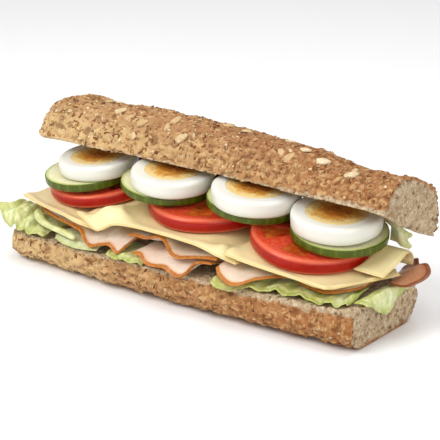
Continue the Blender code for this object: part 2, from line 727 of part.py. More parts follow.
def centre_on_origin(group):
    """Moves the sandwich so that the middle of its footprint is the origin."""
    bpy.context.view_layer.update()
    graph = bpy.context.evaluated_depsgraph_get()
    corners = []
    for item in group.objects:
        shaped = item.evaluated_get(graph)
        mesh = shaped.to_mesh()
        corners += [item.matrix_world @ corner.co for corner in mesh.vertices]
        shaped.to_mesh_clear()
    low = Vector([min(corner[axis] for corner in corners) for axis in range(3)])
    high = Vector([max(corner[axis] for corner in corners) for axis in range(3)])
    middle = Vector(((low.x + high.x) / 2.0, (low.y + high.y) / 2.0, low.z))
    for item in group.objects:
        item.location -= middle


def main():
    clear_scene()
    group = new_collection("submarine_sandwich")
    flake_group = new_collection("flakes")
    crust = make_material("crust", CRUST, 0.85)
    base = make_material("base_crust", BASE_CRUST_COLOUR, 0.85)
    white = make_material("egg_white", EGG_WHITE, 0.35)
    yolk = make_material("egg_yolk", EGG_YOLK, 0.6)
    tomato = make_material("tomato", TOMATO_RED, 0.3)
    cucumber = make_material("cucumber", CUCUMBER_GREEN, 0.4)
    cheese = make_material("cheese", CHEESE_YELLOW, 0.45)
    ham = make_material("ham", HAM_PINK, 0.5)
    green = make_material("leaf", LEAF_GREEN, 0.5)
    pale = make_material("leaf_pale", LEAF_PALE, 0.5)
    build_base(group, base)
    build_top(group, flake_group, crust)
    build_round_slices(group, tomato, cucumber)
    build_eggs(group, white, yolk)
    build_cheese(group, cheese)
    build_curled_cheese(group, cheese)
    build_ham(group, ham)
    build_ham_end(group, ham)
    build_leaves(group, green, pale)
    build_end_leaf(group, green)
    build_back_leaf(group, green)
    build_leaf_rib(group, pale)
    centre_on_origin(group)


main()
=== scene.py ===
import math
import random

import bmesh
import bpy
import numpy as np
from mathutils import Matrix, Vector, noise


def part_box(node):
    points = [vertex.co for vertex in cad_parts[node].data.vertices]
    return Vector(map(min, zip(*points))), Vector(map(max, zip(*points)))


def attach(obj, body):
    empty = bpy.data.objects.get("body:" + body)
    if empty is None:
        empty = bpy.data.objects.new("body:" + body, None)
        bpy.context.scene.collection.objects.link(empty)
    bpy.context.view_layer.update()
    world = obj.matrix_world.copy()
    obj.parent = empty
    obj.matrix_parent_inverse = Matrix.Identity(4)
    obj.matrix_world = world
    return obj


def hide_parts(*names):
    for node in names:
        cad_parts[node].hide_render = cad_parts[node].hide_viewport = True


# Looks of a submarine sandwich: crust, crumb, egg, cucumber, tomato, cheese, poultry and lettuce.
# Pieces are drawn in millimetres in the sandwich's drawing frame, then moved into the model's frame.
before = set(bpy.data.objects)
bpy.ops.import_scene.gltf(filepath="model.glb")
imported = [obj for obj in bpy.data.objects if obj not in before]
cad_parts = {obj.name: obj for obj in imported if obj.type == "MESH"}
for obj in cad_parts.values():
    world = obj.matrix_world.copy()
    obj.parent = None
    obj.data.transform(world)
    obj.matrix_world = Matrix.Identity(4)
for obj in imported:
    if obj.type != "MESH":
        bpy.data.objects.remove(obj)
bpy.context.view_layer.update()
mm = 0.001

# Slices: centre x, y, z, radius, thickness, fall to the right and to the front in degrees
tomatoSlices = [
    (-81.5, 3.0, 39.9, 29.8, 6.8, -3.0, 8.0),
    (-8.1, 2.3, 42.2, 32.6, 7.4, 1.5, 4.2),
    (59.1, -2.2, 38.4, 31.0, 7.4, 8.1, 5.2),
]
firstLow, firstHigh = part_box("tomato_1")
drawingShift = (firstLow + firstHigh) / 2.0 / mm - Vector(tomatoSlices[0][:3])
print("frame loaded, drawing shift", [round(value, 2) for value in drawingShift])


# Small maths

def mix(first, second, share):
    return first + (second - first) * share


def smoothStep(low, high, value):
    share = min(max((value - low) / (high - low), 0.0), 1.0)
    return share * share * (3.0 - 2.0 * share)


def polar(r, angle):
    return r * math.cos(angle), r * math.sin(angle)


def softStep(low, high, values):  # the same for a whole array
    share = np.clip((values - low) / (high - low), 0.0, 1.0)
    return share * share * (3.0 - 2.0 * share)


def spline(points, share):
    spans = len(points) - 1
    place = min(max(share, 0.0), 1.0) * spans
    index = min(int(place), spans - 1)
    t = place - index
    before = Vector(points[max(index - 1, 0)])
    start = Vector(points[index])
    end = Vector(points[index + 1])
    after = Vector(points[min(index + 2, spans)])
    return 0.5 * (2.0 * start + (end - before) * t
                  + (2.0 * before - 5.0 * start + 4.0 * end - after) * t * t
                  + (3.0 * start - before - 3.0 * end + after) * t * t * t)


def noiseAt(point, size, seed=0.0):
    return noise.noise(Vector((point[0] / size + seed, point[1] / size + 1.7 * seed, point[2] / size)))


def cellAt(point, size, seed=0.0):  # distance to the nearest and the next cell point
    place = Vector((point[0] / size + seed, point[1] / size - seed, point[2] / size + 0.5 * seed))
    return noise.voronoi(place)[0][:2]


# Meshes

def addObject(name, data):
    item = bpy.data.objects.new(name, data)
    bpy.context.scene.collection.objects.link(item)
    return item


def storeValues(mesh, name, values, kind="FLOAT"):
    layer = mesh.attributes.new(name, kind, "POINT")
    layer.data.foreach_set("value" if kind == "FLOAT" else "vector", np.array(values, np.float32).ravel())


def readVertices(mesh, key="co"):
    values = np.zeros(len(mesh.vertices) * 3, np.float32)
    mesh.vertices.foreach_get(key, values)
    return values.reshape(-1, 3)


def solidMesh(name, points, faces):  # a smooth closed mesh with its faces turned outward
    mesh = bpy.data.meshes.new(name)
    mesh.from_pydata(points, [], faces)
    shaped = bmesh.new()
    shaped.from_mesh(mesh)
    bmesh.ops.recalc_face_normals(shaped, faces=shaped.faces)
    shaped.to_mesh(mesh)
    shaped.free()
    mesh.shade_smooth()
    return mesh


def bandFaces(rows, around, closed=False):  # quads between rings of points, which may close on themselves
    return [(j * around + k, j * around + (k + 1) % around,
             (j + 1) % rows * around + (k + 1) % around, (j + 1) % rows * around + k)
            for j in range(rows if closed else rows - 1) for k in range(around)]


def makePiece(name, points, faces, material, uv=None, masks=None, sharpAngle=60.0):
    placed = (np.asarray(points, float) + np.array(drawingShift)) * mm
    mesh = solidMesh(name, placed.tolist(), [list(map(int, face)) for face in faces])
    for key, values in (masks or {}).items():
        storeValues(mesh, key, values)
    if uv is not None:
        layer = mesh.uv_layers.new(name="surface")
        corners = np.zeros(len(mesh.loops), np.int32)
        mesh.loops.foreach_get("vertex_index", corners)
        layer.data.foreach_set("uv", np.asarray(uv, np.float32)[corners].ravel())
    mesh.set_sharp_from_angle(angle=math.radians(sharpAngle))
    mesh.materials.append(material)
    return addObject(name, mesh)


def finishPiece(piece, slotName, *nodes):  # hands the piece to the sandwich's body
    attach(piece, "root")
    if nodes:
        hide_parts(*nodes)


def gridNormals(grid):
    alongU = np.gradient(grid, axis=1)
    alongV = np.gradient(grid, axis=0)
    normals = np.cross(alongU, alongV)
    length = np.linalg.norm(normals, axis=2, keepdims=True)
    return normals / np.maximum(length, 1e-9)


def edgeDistances(grid):  # millimetres from each grid point to the sheet's nearest edge
    stepU = np.linalg.norm(np.diff(grid, axis=1), axis=2)
    stepV = np.linalg.norm(np.diff(grid, axis=0), axis=2)
    left = np.pad(np.cumsum(stepU, axis=1), ((0, 0), (1, 0)))
    front = np.pad(np.cumsum(stepV, axis=0), ((1, 0), (0, 0)))
    right = left[:, -1:] - left
    back = front[-1:, :] - front
    return np.minimum(np.minimum(left, right), np.minimum(front, back)), front


def layerSheet(name, place, columns, rows, thick, material, relief=None, rowBias=1.6):
    # A thin sheet over place(u, v) with two faces and a rounded rim; more rows lie near the front
    across = np.linspace(0.0, 1.0, columns + 1)
    along = np.linspace(0.0, 1.0, rows + 1) ** rowBias
    grid = np.array([[tuple(place(u, v)) for u in across] for v in along])
    if relief:
        normals = gridNormals(grid)
        lift = np.array([[relief(grid[j, i], across[i], along[j]) for i in range(columns + 1)]
                         for j in range(rows + 1)])
        grid = grid + normals * lift[:, :, None]
    normals = gridNormals(grid)
    edge, front = edgeDistances(grid)
    half = thick / 2.0 * (0.55 + 0.45 * softStep(0.0, thick * 0.8, edge))[:, :, None]
    upper = grid + normals * half
    lower = grid - normals * half
    count = (rows + 1) * (columns + 1)
    index = np.arange(count).reshape(rows + 1, columns + 1)
    faces = []
    for j in range(rows):
        for i in range(columns):
            faces.append((index[j, i], index[j, i + 1], index[j + 1, i + 1], index[j + 1, i]))
            faces.append((index[j, i] + count, index[j + 1, i] + count,
                          index[j + 1, i + 1] + count, index[j, i + 1] + count))
    ring = list(index[0, :]) + list(index[1:, -1]) + list(index[-1, -2::-1]) + list(index[-2:0:-1, 0])
    flat = grid.reshape(-1, 3)
    inner = index[1:-1, 1:-1]
    middle = []
    for corner in ring:
        j, i = divmod(int(corner), columns + 1)
        nearest = inner[min(max(j - 1, 0), rows - 2), min(max(i - 1, 0), columns - 2)]
        outward = flat[corner] - flat[nearest]
        outward /= max(np.linalg.norm(outward), 1e-9)
        middle.append(flat[corner] + outward * thick * 0.3)
    start = 2 * count
    for k in range(len(ring)):
        after = (k + 1) % len(ring)
        faces.append((ring[k], start + k, start + after, ring[after]))
        faces.append((start + k, ring[k] + count, ring[after] + count, start + after))
    points = np.concatenate([upper.reshape(-1, 3), lower.reshape(-1, 3), np.array(middle)])
    u, v = np.meshgrid(across, along)
    flatUv = np.stack([u.ravel(), v.ravel()], axis=1)
    uv = np.concatenate([flatUv, flatUv, flatUv[ring]])
    rim = np.concatenate([edge.ravel(), edge.ravel(), np.zeros(len(ring))])
    ahead = np.concatenate([front.ravel(), front.ravel(), front.ravel()[ring]])
    return makePiece(name, points, faces, material, uv, {"edge": rim, "front": ahead}, 75.0)


def sliceFrame(node):  # centre, axes, radius and half thickness of a round CAD slice, read from its mesh
    points = readVertices(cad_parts[node].data) / mm - np.array(drawingShift)
    centre = (points.min(axis=0) + points.max(axis=0)) / 2.0
    spread = points - centre
    normal = np.linalg.eigh(spread.T @ spread)[1][:, 0]
    normal *= math.copysign(1.0, normal[2])
    side = np.cross((0.0, 1.0, 0.0), normal)
    side /= np.linalg.norm(side)
    height = spread @ normal
    radius = np.linalg.norm(spread - np.outer(height, normal), axis=1).max()
    return {"centre": centre, "side": side, "away": np.cross(normal, side), "normal": normal,
            "radius": float(radius), "half": float(height.max())}


def roundProfile(corners, step):  # resamples a profile of radius and height at even steps
    fine = [corners[0]]
    for (r0, z0), (r1, z1) in zip(corners, corners[1:]):
        count = max(int(round(math.hypot(r1 - r0, z1 - z0) / step)), 1)
        for k in range(1, count + 1):
            fine.append((mix(r0, r1, k / count), mix(z0, z1, k / count)))
    return fine


def roundSlice(name, place, corners, segments, step, material, shape, closedRing=False):
    # A turned slice; shape(r, z, angle) moves a point and gives its masks
    profile = roundProfile(corners + corners[:1] if closedRing else corners, step)
    if closedRing:
        profile = profile[:-1]
    points = []
    uv = []
    masks = {"skin": [], "depth": []}
    for r, z in profile:
        for k in range(segments):
            angle = 2.0 * math.pi * k / segments
            newR, newZ, skin, depth = shape(r, z, angle)
            x, y = polar(newR, angle)
            points.append(place["centre"] + place["side"] * x + place["away"] * y + place["normal"] * newZ)
            uv.append((0.5 + 0.5 * x / place["radius"], 0.5 + 0.5 * y / place["radius"]))
            masks["skin"].append(skin)
            masks["depth"].append(depth)
    rows = len(profile)
    faces = bandFaces(rows, segments, closedRing)
    if not closedRing:
        faces.append([(rows - 1) * segments + k for k in range(segments)][::-1])
        faces.append(list(range(segments)))
    return makePiece(name, points, faces, material, uv, masks)


# Colours and shader nodes

def tone(red, green, blue):  # a colour as seen on screen, as the shader's linear values
    linear = []
    for value in (red, green, blue):
        share = value / 255.0
        linear.append(share / 12.92 if share <= 0.04045 else ((share + 0.055) / 1.055) ** 2.4)
    return (*linear, 1.0)


def addNode(tree, kind, inputs, **settings):  # a node with its settings, and its inputs linked or set
    item = tree.nodes.new(kind)
    for key, value in settings.items():
        setattr(item, key, value)
    for key, value in inputs.items():
        if isinstance(value, bpy.types.NodeSocket):
            tree.links.new(value, item.inputs[key])
        else:
            item.inputs[key].default_value = value
    return item


def add(tree, kind, inputs, **settings):
    return addNode(tree, "ShaderNode" + kind, inputs, **settings)


def blendTone(tree, factor, first, second, kind="MIX"):
    return add(tree, "Mix", {0: factor, 6: first, 7: second}, data_type="RGBA", blend_type=kind).outputs[2]


def sums(tree, operation, *values):
    return add(tree, "Math", dict(enumerate(values)), operation=operation).outputs[0]


def clamped(tree, value):
    return add(tree, "Clamp", {"Value": value}).outputs[0]


def ranged(tree, value, low, high):
    return add(tree, "MapRange", {"Value": value, "From Min": low, "From Max": high},
               interpolation_type="SMOOTHSTEP").outputs[0]


def layered(tree, look, colour, layers):  # each layer: a mask, its strength, and a look's colour or a socket
    for share, strength, over in layers:
        factor = share if strength == 1.0 else sums(tree, "MULTIPLY", share, strength)
        colour = blendTone(tree, factor, colour, look[over] if isinstance(over, str) else over)
    return colour


def bentPlace(tree, place, perMetre, detail, reach):  # the place moved about by noise, by up to reach metres
    bend = add(tree, "TexNoise", {"Vector": place, "Scale": perMetre, "Detail": detail})
    moved = add(tree, "VectorMath", {0: bend.outputs["Color"], 1: (reach,) * 3}, operation="MULTIPLY")
    return add(tree, "VectorMath", {0: place, 1: moved.outputs[0]}, operation="ADD").outputs[0]


def newTree(name, kind, inputs, outputs):  # a node group with named inputs and outputs
    tree = bpy.data.node_groups.new(name, kind)
    for socketName, socketKind, *value in inputs:
        socket = tree.interface.new_socket(socketName, in_out="INPUT", socket_type="NodeSocket" + socketKind)
        if value:
            socket.default_value = value[0]
    for socketName, socketKind in outputs:
        tree.interface.new_socket(socketName, in_out="OUTPUT", socket_type="NodeSocket" + socketKind)
    return tree, tree.nodes.new("NodeGroupInput"), tree.nodes.new("NodeGroupOutput")


def buildSpeckle():  # scattered round specks
    inputs = [("Vector", "Vector"), ("Per Metre", "Float", 500.0), ("Share", "Float", 0.2),
              ("Radius", "Float", 0.35)]
    tree, given, result = newTree("speckle", "ShaderNodeTree", inputs, [("Mask", "Float")])
    spot = bentPlace(tree, given.outputs["Vector"], 900.0, 1.0, 0.0012)
    cells = add(tree, "TexVoronoi", {"Vector": spot, "Scale": given.outputs["Per Metre"]})
    split = add(tree, "SeparateColor", {"Color": cells.outputs["Color"]})
    chosen = sums(tree, "LESS_THAN", split.outputs[0], given.outputs["Share"])
    inside = sums(tree, "SUBTRACT", given.outputs["Radius"], cells.outputs["Distance"])
    soft = clamped(tree, sums(tree, "MULTIPLY", inside, 9.0))
    tree.links.new(sums(tree, "MULTIPLY", chosen, soft), result.inputs["Mask"])
    return tree


def buildMottle():  # soft blotches between 0 and 1
    inputs = [("Vector", "Vector"), ("Per Metre", "Float", 100.0), ("Contrast", "Float", 2.0),
              ("Detail", "Float", 3.0)]
    tree, given, result = newTree("mottle", "ShaderNodeTree", inputs, [("Mask", "Float")])
    clouds = add(tree, "TexNoise", {"Vector": given.outputs["Vector"], "Scale": given.outputs["Per Metre"],
                                    "Detail": given.outputs["Detail"], "Roughness": 0.6})
    centred = sums(tree, "SUBTRACT", clouds.outputs[0], 0.5)
    wide = sums(tree, "MULTIPLY_ADD", centred, given.outputs["Contrast"], 0.5)
    tree.links.new(clamped(tree, wide), result.inputs["Mask"])
    return tree


def buildGrain():  # fine height for bump, from noise and small cells
    inputs = [("Vector", "Vector"), ("Per Metre", "Float", 800.0), ("Cells", "Float", 0.5)]
    tree, given, result = newTree("grain", "ShaderNodeTree", inputs, [("Height", "Float")])
    spread = {"Vector": given.outputs["Vector"], "Scale": given.outputs["Per Metre"]}
    clouds = add(tree, "TexNoise", {**spread, "Detail": 4.0, "Roughness": 0.6})
    cells = add(tree, "TexVoronoi", spread)
    height = sums(tree, "MULTIPLY_ADD", cells.outputs["Distance"], given.outputs["Cells"], clouds.outputs[0])
    tree.links.new(height, result.inputs["Height"])
    return tree


groups = {"speckle": buildSpeckle(), "mottle": buildMottle(), "grain": buildGrain()}


def useGroup(tree, key, inputs):
    return add(tree, "Group", inputs, node_tree=groups[key]).outputs[0]


def mottled(tree, place, perMetre, contrast, detail):
    return useGroup(tree, "mottle", {"Vector": place, "Per Metre": perMetre, "Contrast": contrast,
                                     "Detail": detail})


def speckled(tree, place, perMetre, share, radius):
    return useGroup(tree, "speckle", {"Vector": place, "Per Metre": perMetre, "Share": share,
                                      "Radius": radius})


def grained(tree, place, perMetre, cells):
    return useGroup(tree, "grain", {"Vector": place, "Per Metre": perMetre, "Cells": cells})


def startMaterial(name, roughness, coat=0.0, subsurface=0.0, specular=0.5):
    material = bpy.data.materials.new(name)
    material.use_nodes = True
    tree = material.node_tree
    shader = tree.nodes["Principled BSDF"]
    values = {"Roughness": roughness, "Coat Weight": coat, "Specular IOR Level": specular}
    if subsurface:
        values.update({"Subsurface Weight": subsurface, "Subsurface Scale": 0.003})
    for key, value in values.items():
        shader.inputs[key].default_value = value
    return material, tree, shader, add(tree, "TexCoord", {}).outputs["Object"]


def endMaterial(tree, shader, colour, height=None, strength=0.5, distance=0.0006):
    tree.links.new(colour, shader.inputs["Base Color"])
    if height is not None:
        bump = add(tree, "Bump", {"Height": height, "Strength": strength, "Distance": distance})
        tree.links.new(bump.outputs[0], shader.inputs["Normal"])


def axisOf(tree, place, axis):
    return add(tree, "SeparateXYZ", {0: place}).outputs[axis]


def mask(tree, name):
    return add(tree, "Attribute", {}, attribute_name=name).outputs["Fac"]


def surfaceUv(tree):
    return add(tree, "UVMap", {}, uv_map="surface").outputs[0]


def fromMiddle(tree):  # a round slice's place from its middle, and how far that is
    centred = add(tree, "VectorMath", {0: surfaceUv(tree), 1: (0.5, 0.5, 0.0)}, operation="SUBTRACT")
    away = add(tree, "VectorMath", {0: centred.outputs[0]}, operation="LENGTH")
    return centred.outputs[0], away.outputs["Value"]


# Bread

breadLook = {
    "crustLeft": tone(218, 186, 132), "crustRight": tone(150, 92, 48),
    "crustPaleAndCrestHighlight": tone(220, 184, 130), "crustDeep": tone(132, 78, 42),
    "paintedPitShade": tone(106, 66, 40), "fleck": tone(92, 60, 44), "cream": tone(232, 212, 172),
    "ridge": tone(140, 80, 46), "warm": tone(160, 94, 38),
    "crumb": tone(202, 176, 138), "crumbDeep": tone(168, 138, 100),
    "crumbSpeckAndPoreShade": tone(104, 72, 48), "crumbPale": tone(232, 216, 186),
    "lump": 0.9, "lumpSize": 11.0, "grain": 0.45, "grainSize": 4.5, "patchHigh": 0.5, "flakeHigh": 0.52,
    "ridgeHigh": 0.64, "fineHigh": 0.46, "poreDeep": 1.3, "smallPoreDeep": 0.8,
}
base = {"left": -120.3, "right": 106.0, "front": -42.0, "back": 24.0, "frontInset": 1.2, "backInset": 10.0,
        "belly": 3.0, "pull": 4.3, "height": 18.4, "rise": 2.9, "endRound": 13.0, "fullness": 2.4,
        "seed": 3.0, "voxel": 0.70}
top = {"left": -120.5, "right": 107.0, "front": -13.5, "edge": 63.6, "width": 54.0, "height": 23.2,
       "swell": 2.0, "bow": 2.9, "crag": 2.6, "cragPlace": -99.0, "sink": 1.2, "sag": 1.8, "tilt": 22.0,
       "twist": 4.5, "hollow": 11.0, "deepest": 0.58, "endRound": 15.0, "fullness": 2.2, "seed": 9.0,
       "voxel": 0.74}


def endScale(x, half):
    inside = min(max((x - half["left"]) / half["endRound"], 0.0), 1.0)
    fullness = half["fullness"]
    return max((1.0 - (1.0 - inside) ** fullness) ** (1.0 / fullness), 0.02)


def baseTop(x):
    return base["height"] + base["rise"] * x / base["right"]


def baseRing(x, crustPoints=60, topPoints=24):
    scale = endScale(x, base)
    height = baseTop(x) * mix(0.75, 1.0, scale)
    front = base["front"] + base["pull"] * (x / base["right"]) ** 2
    middle = (front + base["back"]) / 2.0
    half = (base["back"] - front) / 2.0 * mix(0.45, 1.0, scale)
    backInset = base["backInset"] * mix(0.3, 1.0, scale)
    ring = []
    for k in range(crustPoints):
        angle = math.pi * k / (crustPoints - 1)
        side = -math.cos(angle)
        z = height * (1.0 - 1.08 * abs(math.sin(angle)) ** 0.8)
        if side < 0.0:
            inset = base["frontInset"] * smoothStep(0.75 * height, height, z)
            belly = base["belly"] * scale * math.sin(math.pi * min(max(z, 0.0) / (0.8 * height), 1.0))
            y = middle - abs(side) ** 0.42 * (half - inset) - belly
        else:
            y = middle + side ** 0.55 * half - backInset * max(2.0 * z / height - 1.0, 0.0) ** 2
        ring.append((x, y, max(z, 0.0)))
    for k in range(1, topPoints):
        share = 1.0 - k / topPoints
        y = mix(middle - half + base["frontInset"], middle + half - backInset, share)
        ring.append((x, y, height - 0.7 * math.sin(math.pi * share)))
    return ring


def topFrame(x):
    along = x / top["right"]
    tilt = math.radians(top["tilt"] + top["twist"] * along)
    edge = Vector((x, top["front"], top["edge"] + 0.6 * math.sin(math.pi * (along + 0.55))))
    across = Vector((0.0, math.cos(tilt), -math.sin(tilt)))
    up = Vector((0.0, math.sin(tilt), math.cos(tilt)))
    taller = top["swell"] * smoothStep(0.4, -0.7, along)
    taller += top["bow"] * smoothStep(-95.0, -45.0, x) * smoothStep(78.0, 42.0, x)
    taller += top["crag"] * math.exp(-((x - top["cragPlace"]) / 6.5) ** 2)
    taller -= top["sink"] * smoothStep(50.0, 80.0, x) * smoothStep(top["right"], 96.0, x)
    return edge, across, up, top["height"] + taller


def topDomePoint(x, share):
    edge, across, up, height = topFrame(x)
    scale = endScale(x, top)
    angle = math.pi * share
    side = -math.copysign(abs(math.cos(angle)) ** 0.65, math.cos(angle))
    half = top["width"] / 2.0
    middle = edge + across * half + up * (height * 0.08 * (1.0 - scale))
    rise = abs(math.sin(angle)) ** 0.8
    return middle + across * (side * half * mix(0.5, 1.0, scale)) + up * (rise * height * scale)


def hollowDepth(x, share):  # how deep the filling presses into the cut face
    ends = smoothStep(top["right"], top["right"] - 16.0, x)
    ends *= smoothStep(top["left"] + 6.0, top["left"] + 26.0, x)
    deepest = top["deepest"]
    profile = share / deepest if share < deepest else (1.0 - share) / (1.0 - deepest)
    sag = top["sag"] * smoothStep(top["right"] - 12.0, top["right"], x) * math.sin(math.pi * share)
    return top["hollow"] * ends * math.sin(profile * math.pi / 2.0) - sag


def topRing(x, crustPoints=64, underPoints=28):
    ring = [topDomePoint(x, k / (crustPoints - 1)) for k in range(crustPoints)]
    up = topFrame(x)[2]
    for k in range(1, underPoints):
        share = 1.0 - k / underPoints
        ring.append(ring[0].lerp(ring[crustPoints - 1], share) + up * hollowDepth(x, share))
    return [tuple(point) for point in ring]


def breadBody(name, ringAt, half):  # lofts the rings, then remeshes into even small faces
    curved = 14
    straight = 110
    shoulder = half["left"] + half["endRound"]
    places = [half["left"] + half["endRound"] * (k / curved) ** 1.7 for k in range(curved)]
    places += [shoulder + (half["right"] - shoulder) / (straight - 1) * k for k in range(straight)]
    rings = [ringAt(x) for x in places]
    around = len(rings[0])
    points = [tuple(point) for ring in rings for point in ring]
    faces = bandFaces(len(rings), around)
    for first in (0, (len(rings) - 1) * around):
        hub = len(points)
        ends = [Vector(point) for point in points[first:first + around]]
        points.append(tuple(sum(ends, Vector()) / around))
        faces += [(hub, first + k, first + (k + 1) % around) for k in range(around)]
    rough = addObject(name, solidMesh(name, points, faces))
    remesh = rough.modifiers.new("even", "REMESH")
    remesh.mode = "VOXEL"
    remesh.voxel_size = half["voxel"] * 1.0
    remesh.adaptivity = 0.0
    bpy.context.view_layer.update()
    fine = bpy.data.meshes.new_from_object(rough.evaluated_get(bpy.context.evaluated_depsgraph_get()))
    points = readVertices(fine).astype(float)
    normals = readVertices(fine, "normal").astype(float)
    faces = [tuple(face.vertices) for face in fine.polygons]
    bpy.data.objects.remove(rough)
    bpy.data.meshes.remove(fine)
    return points, normals, faces


def crustRelief(point, seed):
    moved = (point[0] + seed, point[1] + 1.7 * seed, point[2] + 0.6 * seed)
    lump = noiseAt(moved, breadLook["lumpSize"]) * breadLook["lump"]
    lump += noiseAt(moved, breadLook["grainSize"]) * breadLook["grain"]
    near, second = cellAt((point[0] * 0.75, point[1], point[2]), 4.6, seed)
    flake = smoothStep(0.0, 0.40, second - near) - 0.6
    ridge = 0.5 - 2.0 * abs(noiseAt((point[0] * 0.6, point[1], point[2] * 0.8), 3.4, seed))
    patch = noiseAt(point, 5.2, seed + 6.0)
    fine = noiseAt(point, 1.4, seed)
    rough = breadLook["flakeHigh"] * flake + breadLook["ridgeHigh"] * ridge + breadLook["fineHigh"] * fine
    return lump + breadLook["patchHigh"] * patch, rough


def crumbRelief(point, seed):
    bent = (point[0] + 1.2 * noiseAt(point, 3.0, 4.0), point[1] + 1.2 * noiseAt(point, 3.0, 8.0), point[2])
    near = cellAt(bent, 3.9, seed)[0]
    small = cellAt(bent, 1.9, seed + 4.0)[0]
    pore = -breadLook["poreDeep"] * smoothStep(0.40, 0.10, near)
    pore -= breadLook["smallPoreDeep"] * smoothStep(0.44, 0.10, small)
    return 0.5 * noiseAt(point, 5.0, seed) + 0.4 * noiseAt(point, 1.6, seed), pore


def breadPiece(name, ringAt, half, crumbShare, material):
    points, normals, faces = breadBody(name, ringAt, half)
    crumb = np.zeros(len(points))
    relief = np.zeros(len(points))
    moves = np.zeros(len(points))
    for k, (point, normal) in enumerate(zip(points, normals)):
        crumb[k], strength = crumbShare(point, normal)
        lump, rough = crustRelief(point, half["seed"])
        soft, pore = crumbRelief(point, half["seed"])
        moves[k] = strength * mix(lump + rough, 0.6 * soft + pore, crumb[k])
        # relief also sets the colour: painted shade in the crust's pits and the crumb's pores, and a painted
        # highlight on the crust's crests
        relief[k] = mix(rough, 0.5 * soft + pore * 0.6, crumb[k])
    points = points + normals * moves[:, None]
    points[:, 2] = np.maximum(points[:, 2], 0.0)
    return makePiece(name, points, faces, material, None, {"crumb": crumb, "relief": relief}, 180.0)


def baseCrumb(point, normal):
    waver = noiseAt(point, 5.0, 2.0) + 0.6 * noiseAt(point, 1.8, 5.0)
    height = baseTop(point[0])
    strip = mix(1.2, 3.0, smoothStep(-20.0, 60.0, point[0])) + 1.6 * waver
    face = smoothStep(-0.3, 0.3, strip - (height - point[2]))
    face *= smoothStep(base["left"] + 1.0, base["left"] + 12.0, point[0])
    end = smoothStep(-0.6, 0.4, point[0] - (base["right"] - 0.9 + 0.5 * waver))
    inward = min(point[2], point[1] - base["front"] - base["pull"], base["back"] - point[1]) + 0.7 * waver
    end *= smoothStep(0.5, 1.9, inward)
    resting = smoothStep(0.1, 2.2, point[2])
    return max(face, end), resting


def topCrumb(point, normal):
    edge, across, up, height = topFrame(point[0])
    waver = noiseAt(point, 5.0, 7.0) + 0.6 * noiseAt(point, 1.8, 9.0)
    rise = (Vector(point) - edge).dot(up)
    strip = mix(0.8, 2.4, smoothStep(20.0, 80.0, point[0])) + 1.3 * waver
    face = smoothStep(-0.3, 0.3, strip - rise)
    under = smoothStep(0.25, 0.45, -Vector(normal).dot(up))
    end = smoothStep(-0.6, 0.4, point[0] - (top["right"] - 0.9 + 0.5 * waver))
    along = ((Vector(point) - edge).dot(across) / (top["width"] / 2.0)) - 1.0
    full = abs(along) ** 3.08 + max(rise / height, 0.0) ** 2.5  # 1 at the crust
    end *= 1.0 - smoothStep(0.78, 0.92, full + 0.05 * waver)
    keep = smoothStep(top["left"] + 2.0, top["left"] + 16.0, point[0])
    strength = mix(1.0, 0.45, under)
    return max(face * keep, under, end), strength


def breadMaterial():
    look = breadLook
    material, tree, shader, place = startMaterial("multigrainBread", 0.82, specular=0.28)
    length = axisOf(tree, place, 0)
    height = axisOf(tree, place, 2)
    relief = mask(tree, "relief")
    broad = mottled(tree, place, 90.0, 2.6, 3.0)
    small = mottled(tree, place, 420.0, 3.2, 2.0)
    baked = blendTone(tree, ranged(tree, length, -0.10, 0.09), look["crustLeft"], look["crustRight"])
    low = sums(tree, "MULTIPLY", ranged(tree, height, 0.026, 0.014), ranged(tree, length, -0.08, -0.02))
    crust = layered(tree, look, baked, [
        (broad, 0.55, "crustDeep"), (small, 0.40, "crustPaleAndCrestHighlight"),
        (ranged(tree, height, 0.070, 0.084), 0.55, "ridge"), (low, 0.32, "warm"),
        # painted shade: the crust is darker in the low places of its relief
        (ranged(tree, relief, -0.15, -0.62), 0.6, "paintedPitShade"),
        # painted highlight: the crests of the crust's relief are lighter, in the colour of the crust's own
        # pale blotches
        (ranged(tree, relief, 0.12, 0.50), 0.48, "crustPaleAndCrestHighlight"),
        (speckled(tree, place, 330.0, 0.07, 0.30), 0.8, "cream"),
        (speckled(tree, place, 270.0, 0.08, 0.22), 0.7, "fleck")])
    inner = layered(tree, look, blendTone(tree, broad, look["crumb"], look["crumbDeep"]), [
        (small, 0.6, "crumbPale"), (mottled(tree, place, 620.0, 4.2, 3.0), 0.42, "crumbSpeckAndPoreShade"),
        # painted shade: the crumb is darker in its pores, in the colour of its own dark specks
        (ranged(tree, relief, -0.10, -0.85), 0.7, "crumbSpeckAndPoreShade"),
        (speckled(tree, place, 420.0, 0.32, 0.38), 0.6, "crumbSpeckAndPoreShade")])
    colour = blendTone(tree, mask(tree, "crumb"), crust, inner)
    endMaterial(tree, shader, colour, grained(tree, place, 900.0, 0.6), 0.6, 0.0006)
    return material


bread = breadMaterial()
bottomBread = breadPiece("roll_bottom", baseRing, base, baseCrumb, bread)
finishPiece(bottomBread, "crust", "bread_bottom")
topBread = breadPiece("roll_top", topRing, top, topCrumb, bread)
finishPiece(topBread, "crust", "bread_top")
print("bread:", len(bottomBread.data.polygons), len(topBread.data.polygons), "faces")


# What is scattered on the crust

